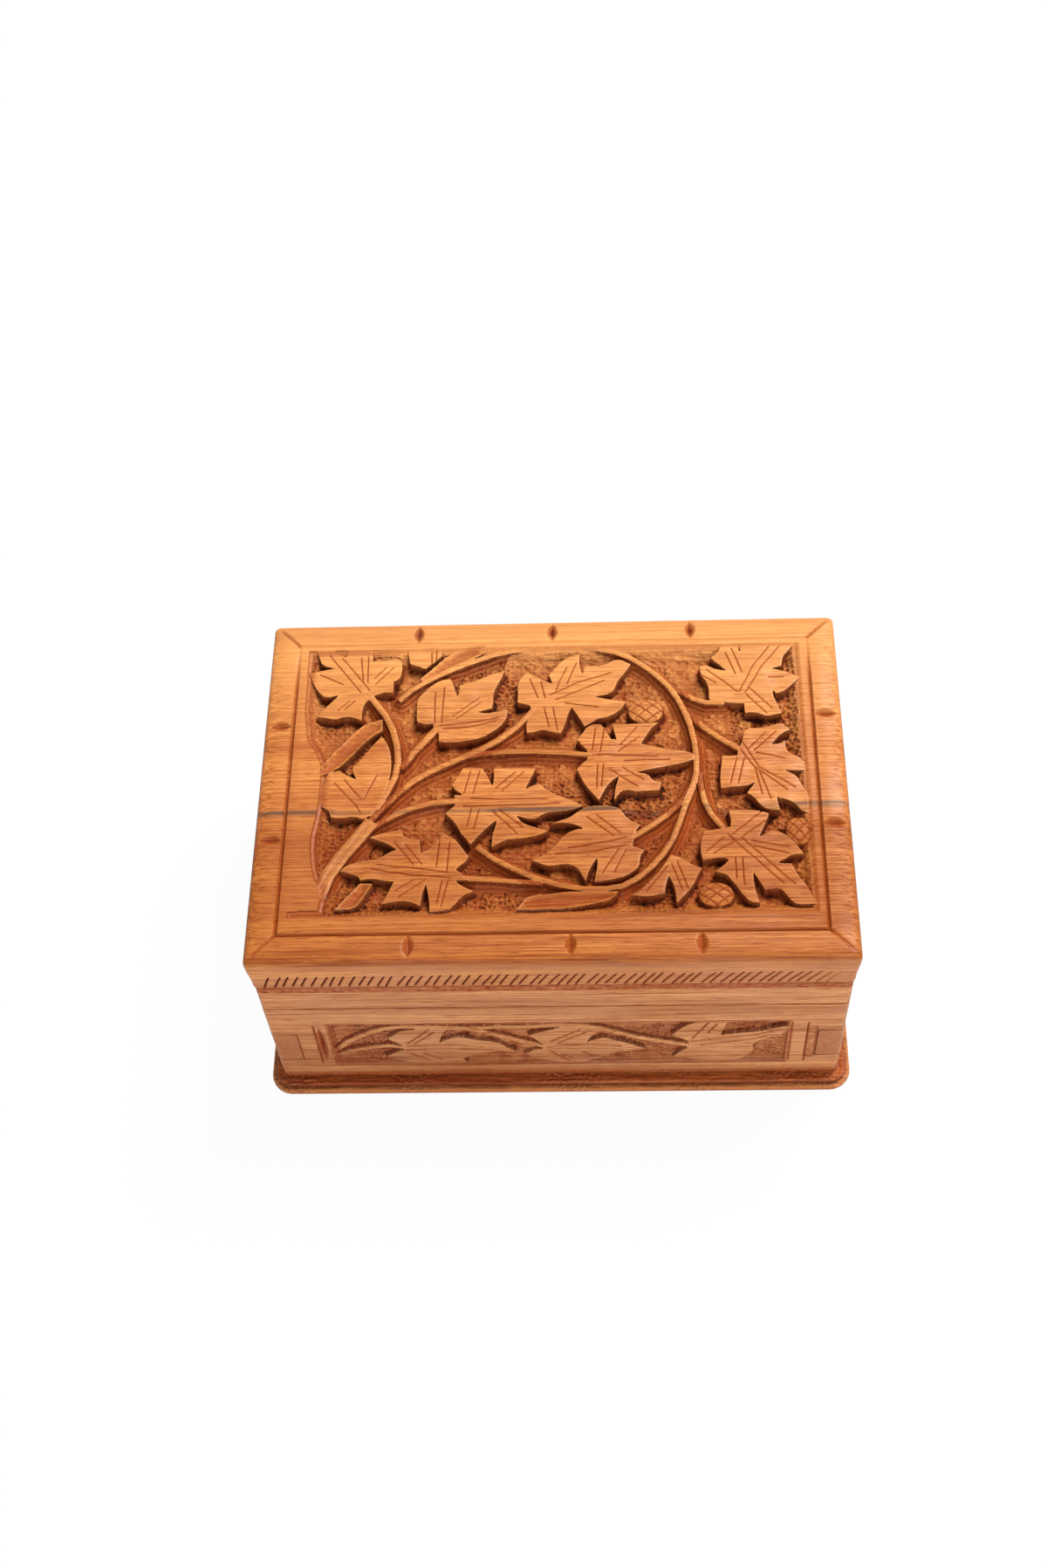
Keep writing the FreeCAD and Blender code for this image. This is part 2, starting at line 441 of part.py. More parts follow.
def base_board():
    length, depth = BOX_LENGTH + 2 * BASE_OVERHANG, BOX_DEPTH + 2 * BASE_OVERHANG
    nose = rounded_block(length, depth, 0, BASE_NOSE_HEIGHT, BASE_CORNER_RADIUS)
    nose = nose.makeFillet(BASE_NOSE_RADIUS, edges_at(nose, 0) + edges_at(nose, BASE_NOSE_HEIGHT))
    step_radius = BASE_CORNER_RADIUS - BASE_STEP_INSET
    step_length, step_depth = length - 2 * BASE_STEP_INSET, depth - 2 * BASE_STEP_INSET
    step = rounded_block(step_length, step_depth, 0, BASE_THICKNESS, step_radius)
    step = step.makeFillet(BASE_STEP_RADIUS, edges_at(step, BASE_THICKNESS))
    below_nose = centred_block(length, depth, -PAST, BASE_NOSE_RADIUS)
    return nose.fuse(step.cut(below_nose))


# Lid

def quirk_cutter():
    """A V-shaped cut round the carved field."""
    middle = QUIRK_INSET
    outer, inner = middle - QUIRK_WIDTH / 2, middle + QUIRK_WIDTH / 2
    rise = PAST / QUIRK_DEPTH * QUIRK_WIDTH / 2  # what each side gains where the cutter runs past the top
    root, top = LID_TOP - QUIRK_DEPTH, LID_TOP + PAST
    around = Part.makeLoft([rectangle_at(middle, root), rectangle_at(outer - rise, top)], True, True)
    island = Part.makeLoft([rectangle_at(middle, root), rectangle_at(inner + rise, top)], True, True)
    return around.cut(island)


def chip_cutter(x, y, along_y):
    """A spindle lying in the border's surface, which leaves a lens-shaped hollow."""
    half, width, depth = CHIP_LENGTH / 2, CHIP_WIDTH / 2, CHIP_DEPTH
    sweep_radius = (width ** 2 + depth ** 2) / (2 * depth)
    bulge = Part.Arc(Vector(-half, 0, 0), Vector(0, sweep_radius, 0), Vector(half, 0, 0)).toShape()
    axis = Part.LineSegment(Vector(half, 0, 0), Vector(-half, 0, 0)).toShape()
    spindle = Part.Face(Part.Wire([bulge, axis])).revolve(Vector(0, 0, 0), Vector(1, 0, 0), 360)
    if along_y:
        spindle.rotate(Vector(0, 0, 0), Vector(0, 0, 1), 90)
    spindle.translate(Vector(x, y, LID_TOP - depth + sweep_radius))
    return spindle


def lid_top_board():
    length, depth = BOX_LENGTH + 2 * TOP_OVERHANG, BOX_DEPTH + 2 * TOP_OVERHANG
    block = rounded_block(length, depth, RAIL_TOP, LID_TOP, CORNER_RADIUS)
    crown = centred_block(length, depth, RAIL_TOP, LID_TOP)
    board = block.common(crown.makeFillet(TOP_EDGE_RADIUS, edges_at(crown, LID_TOP)))
    rebate_top = RAIL_TOP + REBATE_HEIGHT
    rebate = centred_block(length + PAST, depth + PAST, RAIL_TOP - PAST, rebate_top)
    core = (BOX_LENGTH - 2 * REBATE_DEPTH, BOX_DEPTH - 2 * REBATE_DEPTH)
    board = board.cut(rebate.cut(centred_block(*core, RAIL_TOP - PAST, rebate_top)))
    board = board.cut(quirk_cutter()).cut(lid_relief())
    border_middle = QUIRK_INSET / 2
    for side in (-1, 1):
        for x in LONG_SIDE_CHIPS:
            board = board.cut(chip_cutter(x, side * (HALF_DEPTH - border_middle), True))
        for y in SHORT_SIDE_CHIPS:
            board = board.cut(chip_cutter(side * (HALF_LENGTH - border_middle), y, False))
    return board


def lid_rails():
    return four_boards(
        rounded_block(BOX_LENGTH, BOX_DEPTH, RAIL_BOTTOM, RAIL_TOP, CORNER_RADIUS), RAIL_BOTTOM, RAIL_TOP
    )


# Hinges

def back_bevel(direction):
    """The wedge cut from the lid (1) or the wall (-1) behind the hinge axis.

    The two bevels meet as the lid's stop.
    """
    run = HALF_DEPTH + PAST - AXIS_Y
    rise = direction * run * math.tan(math.radians(OPEN_ANGLE / 2 + STOP_EASE))
    outline = [(AXIS_Y, AXIS_Z), (AXIS_Y + run, AXIS_Z), (AXIS_Y + run, AXIS_Z + rise)]
    return prism_along_x(outline, -HALF_LENGTH - PAST, HALF_LENGTH + PAST)


def rod_on_axis(start, end, radius):
    return Part.makeCylinder(radius, end - start, Vector(start, AXIS_Y, AXIS_Z), Vector(1, 0, 0))


def leaf_plate(middle, direction):
    """The flat of one leaf, which lies in the box's edge (-1) or the lid's edge (1)."""
    face = RAIL_BOTTOM if direction > 0 else SEAM
    x = (middle - HINGE_LENGTH / 2, middle + HINGE_LENGTH / 2)
    return block_between(x, (LEAF_EDGE_Y, AXIS_Y), sorted((face, face + direction * LEAF_THICKNESS)))


def knuckle_spans(middle):
    """(start, end) of the barrel's three knuckles. The middle one is the lid's."""
    start, share = middle - HINGE_LENGTH / 2, HINGE_LENGTH / 3
    ease = KNUCKLE_GAP / 2
    return [
        (start, start + share - ease),
        (start + share + ease, start + 2 * share - ease),
        (start + 2 * share + ease, start + HINGE_LENGTH),
    ]


def hinge_leaf(middle, direction):
    first, centre, last = knuckle_spans(middle)
    own, others = ([centre], [first, last]) if direction > 0 else ([first, last], [centre])
    leaf = leaf_plate(middle, direction)
    for start, end in others:
        room = rod_on_axis(start - KNUCKLE_GAP, end + KNUCKLE_GAP, KNUCKLE_RADIUS + BARREL_CLEARANCE)
        leaf = leaf.cut(room)
    for start, end in own:
        leaf = leaf.fuse(rod_on_axis(start, end, KNUCKLE_RADIUS))
    bore = PIN_RADIUS + (PIN_CLEARANCE if direction > 0 else 0.0)
    return leaf.cut(rod_on_axis(middle - HINGE_LENGTH, middle + HINGE_LENGTH, bore))


def hinge_gain(middle, direction):
    """The wood cut away for one leaf and the barrel."""
    reach = HINGE_LENGTH / 2 + BARREL_CLEARANCE
    barrel = rod_on_axis(middle - reach, middle + reach, KNUCKLE_RADIUS + BARREL_CLEARANCE)
    return leaf_plate(middle, direction).fuse(barrel)


# Screws

def screw_blank(place, direction, head_radius, radius, length):
    """A countersunk screw without its slot.

    Place is the middle of the head's face, and direction is 1 for up or -1 for down.
    """
    way = Vector(0, 0, direction)
    head_height, tip_height = head_radius - radius, 2 * radius
    head = Part.makeCone(head_radius, radius, head_height, place, way)
    shank = Part.makeCylinder(radius, length - head_height - tip_height, place + way * head_height, way)
    tip = Part.makeCone(radius, radius / 4, tip_height, place + way * (length - tip_height), way)
    return head.fuse(shank).fuse(tip)


def slotted(blank, place, direction, head_radius):
    half = SLOT_WIDTH / 2
    slot = block_between((-head_radius, head_radius), (-half, half), (-PAST, SLOT_DEPTH))
    if direction < 0:
        slot = slot.mirror(Vector(0, 0, 0), Vector(0, 0, 1))
    slot.translate(place)
    return blank.cut(slot)


def leaf_screw_places(direction):
    y = (LEAF_EDGE_Y + AXIS_Y - KNUCKLE_RADIUS - BARREL_CLEARANCE) / 2
    z = RAIL_BOTTOM if direction > 0 else SEAM
    half = LEAF_SCREW_SPACING / 2
    return [Vector(hinge * HINGE_OFFSET + end * half, y, z) for hinge in (-1, 1) for end in (-1, 1)]


def leaf_screw_blank(place, direction):
    length = RAIL_HEIGHT - LEAF_SCREW_COVER
    return screw_blank(place, direction, LEAF_SCREW_HEAD_RADIUS, LEAF_SCREW_RADIUS, length)


def base_screw_places():
    x, y = HALF_LENGTH - WALL_THICKNESS / 2, HALF_DEPTH - WALL_THICKNESS / 2
    along = (-HALF_LENGTH + BASE_SCREW_EDGE, 0.0, HALF_LENGTH - BASE_SCREW_EDGE)
    places = [Vector(px, side * y, BASE_SCREW_SINK) for side in (-1, 1) for px in along]
    return places + [Vector(side * x, 0, BASE_SCREW_SINK) for side in (-1, 1)]


def base_screw_blank(place):
    tip = STRIP_BOTTOM - DOVETAIL_FLARE - BASE_SCREW_COVER
    return screw_blank(place, 1, BASE_SCREW_HEAD_RADIUS, BASE_SCREW_RADIUS, tip - BASE_SCREW_SINK)


def leaf_screws(direction):
    screws = []
    for place in leaf_screw_places(direction):
        screws.append(slotted(leaf_screw_blank(place, direction), place, direction, LEAF_SCREW_HEAD_RADIUS))
    return Part.makeCompound(screws)


def base_screws():
    screws = []
    for place in base_screw_places():
        screws.append(slotted(base_screw_blank(place), place, 1, BASE_SCREW_HEAD_RADIUS))
    return Part.makeCompound(screws)


# The whole box

def build():
    boards, strips = walls_and_strips()
    rails = lid_rails()
    base = base_board()
    pieces = {}

    boards["back"] = boards["back"].cut(back_bevel(-1))
    rails["back"] = rails["back"].cut(back_bevel(1))
    for hand, side in (("left", -1), ("right", 1)):
        middle = side * HINGE_OFFSET
        boards["back"] = boards["back"].cut(hinge_gain(middle, -1))
        rails["back"] = rails["back"].cut(hinge_gain(middle, 1))
        box_leaf, lid_leaf = hinge_leaf(middle, -1), hinge_leaf(middle, 1)
        for place in leaf_screw_places(-1):
            box_leaf = box_leaf.cut(leaf_screw_blank(place, -1))
        for place in leaf_screw_places(1):
            lid_leaf = lid_leaf.cut(leaf_screw_blank(place, 1))
        pieces[f"{hand}_hinge_box_leaf"] = box_leaf
        pieces[f"{hand}_hinge_lid_leaf"] = lid_leaf
        half = HINGE_LENGTH / 2
        pieces[f"{hand}_hinge_pin"] = rod_on_axis(middle - half, middle + half, PIN_RADIUS)

    for place in leaf_screw_places(-1):
        boards["back"] = boards["back"].cut(leaf_screw_blank(place, -1))
    for place in leaf_screw_places(1):
        rails["back"] = rails["back"].cut(leaf_screw_blank(place, 1))
    for place in base_screw_places():
        blank = base_screw_blank(place)
        well_place = Vector(place.x, place.y, 0)
        head_well = Part.makeCylinder(BASE_SCREW_HEAD_RADIUS, BASE_SCREW_SINK, well_place)
        base = base.cut(blank).cut(head_well)
        boards = {name: board.cut(blank) for name, board in boards.items()}

    pieces["base_board"] = base
    pieces["lid_top_board"] = lid_top_board()
    for side in ("front", "back", "left", "right"):
        pieces[f"{side}_wall"] = boards[side]
        pieces[f"{side}_frieze_strip"] = strips[side]
        pieces[f"lid_{side}_rail"] = rails[side]
    pieces = {name: one_solid(shape) for name, shape in pieces.items()}

    pieces["box_leaf_screws"] = leaf_screws(-1)
    pieces["lid_leaf_screws"] = leaf_screws(1)
    pieces["base_screws"] = base_screws()
    return pieces


os.makedirs("parts", exist_ok=True)
for name, shape in build().items():
    shape.exportStep(f"parts/{name}.step")
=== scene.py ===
"""Looks of the carved walnut box: dressed boards with their carving, materials, light and camera.

Lengths are in millimetres until a mesh is made, and in metres in materials and on the stage.
X runs along the box, Y from front to back, Z up.
"""

import math

import bpy
import numpy as np
from mathutils import Matrix, Vector


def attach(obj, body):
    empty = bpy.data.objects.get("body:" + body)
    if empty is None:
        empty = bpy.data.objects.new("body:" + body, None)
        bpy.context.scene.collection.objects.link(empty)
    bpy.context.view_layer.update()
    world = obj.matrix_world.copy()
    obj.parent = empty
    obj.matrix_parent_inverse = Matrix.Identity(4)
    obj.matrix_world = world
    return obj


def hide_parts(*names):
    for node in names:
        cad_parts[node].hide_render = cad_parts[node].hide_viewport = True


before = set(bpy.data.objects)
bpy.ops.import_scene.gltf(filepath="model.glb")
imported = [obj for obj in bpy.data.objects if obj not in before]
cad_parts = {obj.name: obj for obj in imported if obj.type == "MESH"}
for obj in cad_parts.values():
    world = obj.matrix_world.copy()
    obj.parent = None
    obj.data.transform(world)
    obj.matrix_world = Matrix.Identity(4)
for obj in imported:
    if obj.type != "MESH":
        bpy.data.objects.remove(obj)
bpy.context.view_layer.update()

# Sizes of the built box
HALF_LENGTH = 76.0
HALF_DEPTH = 52.0
WALL_THICKNESS = 10.0
CORNER_LAP = 5.0
CORNER_RADIUS = 1.5
FOOT_RADIUS = 1.0
BASE_TOP = 4.0
STRIP_BOTTOM = 15.0
STRIP_TOP = 30.0
STRIP_DEPTH = 7.0
SEAM = 45.0
RAIL_BOTTOM = 45.25
RAIL_TOP = 54.45
REBATE_TOP = 57.65
GROOVE_INSET = 0.15  # of the rough groove under the top board, from the board's edge
EDGE_LEAN = 0.6  # how far that edge leans in on its way down
LID_TOP = 72.55
TOP_OVERHANG = 0.8
QUIRK_INSET = 7.0  # from the rails' faces to the cut line round the field
BORDER_WIDTH = QUIRK_INSET + TOP_OVERHANG
AXIS_Y = 49.6
AXIS_Z = 45.125
BARREL_ROOM = 2.2
LEAF_EDGE_Y = 43.2
HINGE_MIDDLES = (-44.0, 44.0)
HINGE_LENGTH = 25.0
LEAF_THICKNESS = 1.0
BEVEL_ANGLE = 51.0
TURN = {"front": 0, "right": 90, "back": 180, "left": 270}  # degrees about Z from the front
LONG_SIDES = ("front", "back")
CORNER_TURNS = (-72, -54, -36, -18)  # degrees, the steps round an upright corner

# Spacing of the points of the meshes
CELL = 0.2  # on the lid's carving
SIDE_CELL = 0.25  # on the boards
RING_CELL = 0.21  # round the lid's border
NICK_ROWS = 28
GROOVE_ROWS = 14
HINGE_ROW = 0.25  # between the rows beside the hinges
HINGE_BAND = (41.8, 48.6)  # heights between which those rows lie
PULL_REACH = 0.48  # the share of a cell within which points move onto a cut line
ON_LINE = 1e-6  # points as near as this are on a line
FAR = 9.0  # distance given to points that are not near a line
SEARCH_MARGIN = 3.0  # round a line, beyond which points are not measured
NO_END = 99.0  # stands for an end that is out of reach
SHARP_ANGLE = 36.0  # degrees, edges that turn more than this stay crisp
UNCUT = {"stain": 0.0, "punched": 0.0, "rubbed": 0.0, "carved": math.nan}  # marks of a plain face

# Carving depths and cuts
GROUND_DEPTH = 3.3
FRIEZE_DEPTH = 1.4
MARGIN_WIDTH = 9.0  # of the paler ground inside a field's edge, where the ground gets less painted shade
FLUTE_PITCH = 0.9  # of the gouge marks beside the stems
LID_FIRST_BRACT = 13  # the leaf-like pieces from here on are hollowed bracts
LEFT_END = 40.0  # left of this the edge of a field is a higher step with a darker line of painted shade
LEFT_FADE = 20.0  # the length over which that step grows
QUIRK_WIDTH = 0.6  # of each side of the cut line round the field
PANEL_DROP = 0.1  # of the carved panel below the lid's top
QUIRK_START = 7.3  # from the lid's edge to where the border meets that cut
MITRE_WIDTH = 0.7
MITRE_DEPTH = 0.45
MITRE_END = 7.7  # from the lid's edge to where the mitre cuts stop
CHIP_HALF_LENGTH = 3.1
CHIP_HALF_WIDTH = 1.6
CHIP_DEPTH = 1.3
CHIP_PLACE = 3.6  # from the lid's edge to the middle of a chip
BACK_CHIPS = (39.5, 76.0, 113.5)
FRONT_CHIPS = (40.5, 81.0, 113.5)
LEFT_CHIPS = (33.5, 69.0)
RIGHT_CHIPS = (32.0, 66.0)
NICK_PITCH = 2.4
NICK_WIDTH = 0.34
NICK_DEPTH = 0.55
NICK_HEAD = 7.4  # from the edge plane down to a nick's upper end
NICK_FOOT = 12.6  # and to its lower end
EDGE_PLANE = 71.0  # height of the lid's upper edge, from which the nicks are drawn downwards
NICKED_TOP = 65.2  # the height up to which rows lie close together for the nicks
EDGE_TOP = 69.3  # height where the lid's edge begins to round over
LEAN_HEIGHT = 11.0  # the height over which the lid's edge leans in
FRAME_CUT_WIDTH = 0.4  # of each side of the cuts that frame the frieze
WEAR_WIDTH = 0.4  # of the worn edges of boards
SLIDE_SLACK = 0.12  # round the strip that slides
STRIP_SLACK = 0.03  # round the strips that stay in place
HINGE_ROOM = 0.3  # beyond each end of a hinge
FRIEZE_DATUM = 64.1  # where the base board's top is in the frieze's drawing
FRIEZE_STRETCH = 1.1  # the carving is this much taller than that drawing
FRIEZE_SPAN = (10.6, 36.2)  # heights between which a side is carved
# the border's section from its rounded edge inwards: (distance from the edge, drop below the top)
BORDER_SECTION = (
    (0.03, 2.3), (0.12, 1.85), (0.28, 1.45), (0.5, 1.12), (0.78, 0.87), (1.1, 0.68), (1.5, 0.52),
    (1.95, 0.41), (2.4, 0.32), (2.9, 0.25), (3.4, 0.19), (3.9, 0.14), (4.4, 0.1), (4.9, 0.08),
    (5.4, 0.07), (5.9, 0.08), (6.4, 0.1), (6.8, 0.12), (7.2, 0.13), (7.5, 0.14), (BORDER_WIDTH, 0.14),
)

# Looks
LID_TONES = ("#E69A52", "#BA6C33", "#8A3406")  # pale bands, deep bands, and the tone of pores and of the painted shade in cuts
BODY_TONES = ("#DE9D66", "#B57646", "#842C04")
BASE_TONES = ("#D0783E", "#A65226", "#622206")
PLANK_SIDE_SHADE = "#B98C66"  # painted shade that dulls the plank's upright faces, so they are less golden than its top
PATCH_SIZE = 29.4  # of the wood's drifting darker patches
SPECKLE_SIZE = 1.111  # of the specks that break up the painted shade in the cuts and on steep walls
TARNISH_SIZE = 3.846  # of the metals' dull patches
PUNCH_PITCH = 1.25  # of the punch marks, drawn coarser than the real 0.9 so that they show
AS_IT_IS = (0.0, 1.0, 0.0, 1.0)  # the reach of a pattern that is used unchanged

# Looks and stage, with lengths in metres
STREAK_PLACE = -0.006  # of the dark streak along the top plank, from the middle of the box
STEP_HEIGHT = 0.0034  # of the line of painted shade in the step of the base board's edge
NOSE_HEIGHT = 0.0026  # of the painted highlight along its nose
CHISEL_RELIEF = 0.0009  # of the chisel and punch marks in the ground
GRAIN_RELIEF = 0.00012  # of the wood's fibres and pores
SCRATCH_RELIEF = 0.00003  # of the metals' scratches
FLOOR_HALF = 3.0
FLOOR_GLOW = 0.96  # the share of plain white in the floor that the camera sees
TENT_LIGHT = 0.3  # the strength of the white tent's light on the box
LAMP_AIM = (0, 0, 0.04)  # the middle of the box
CAMERA_PLACE = (0.0166, -0.2865, 0.5112)
CAMERA_TURNS = (33.047, 2.604, -0.876)  # degrees about X, Y and Z
CAMERA_LENS = 46.22  # millimetres
SENSOR_HEIGHT = 36.0  # millimetres

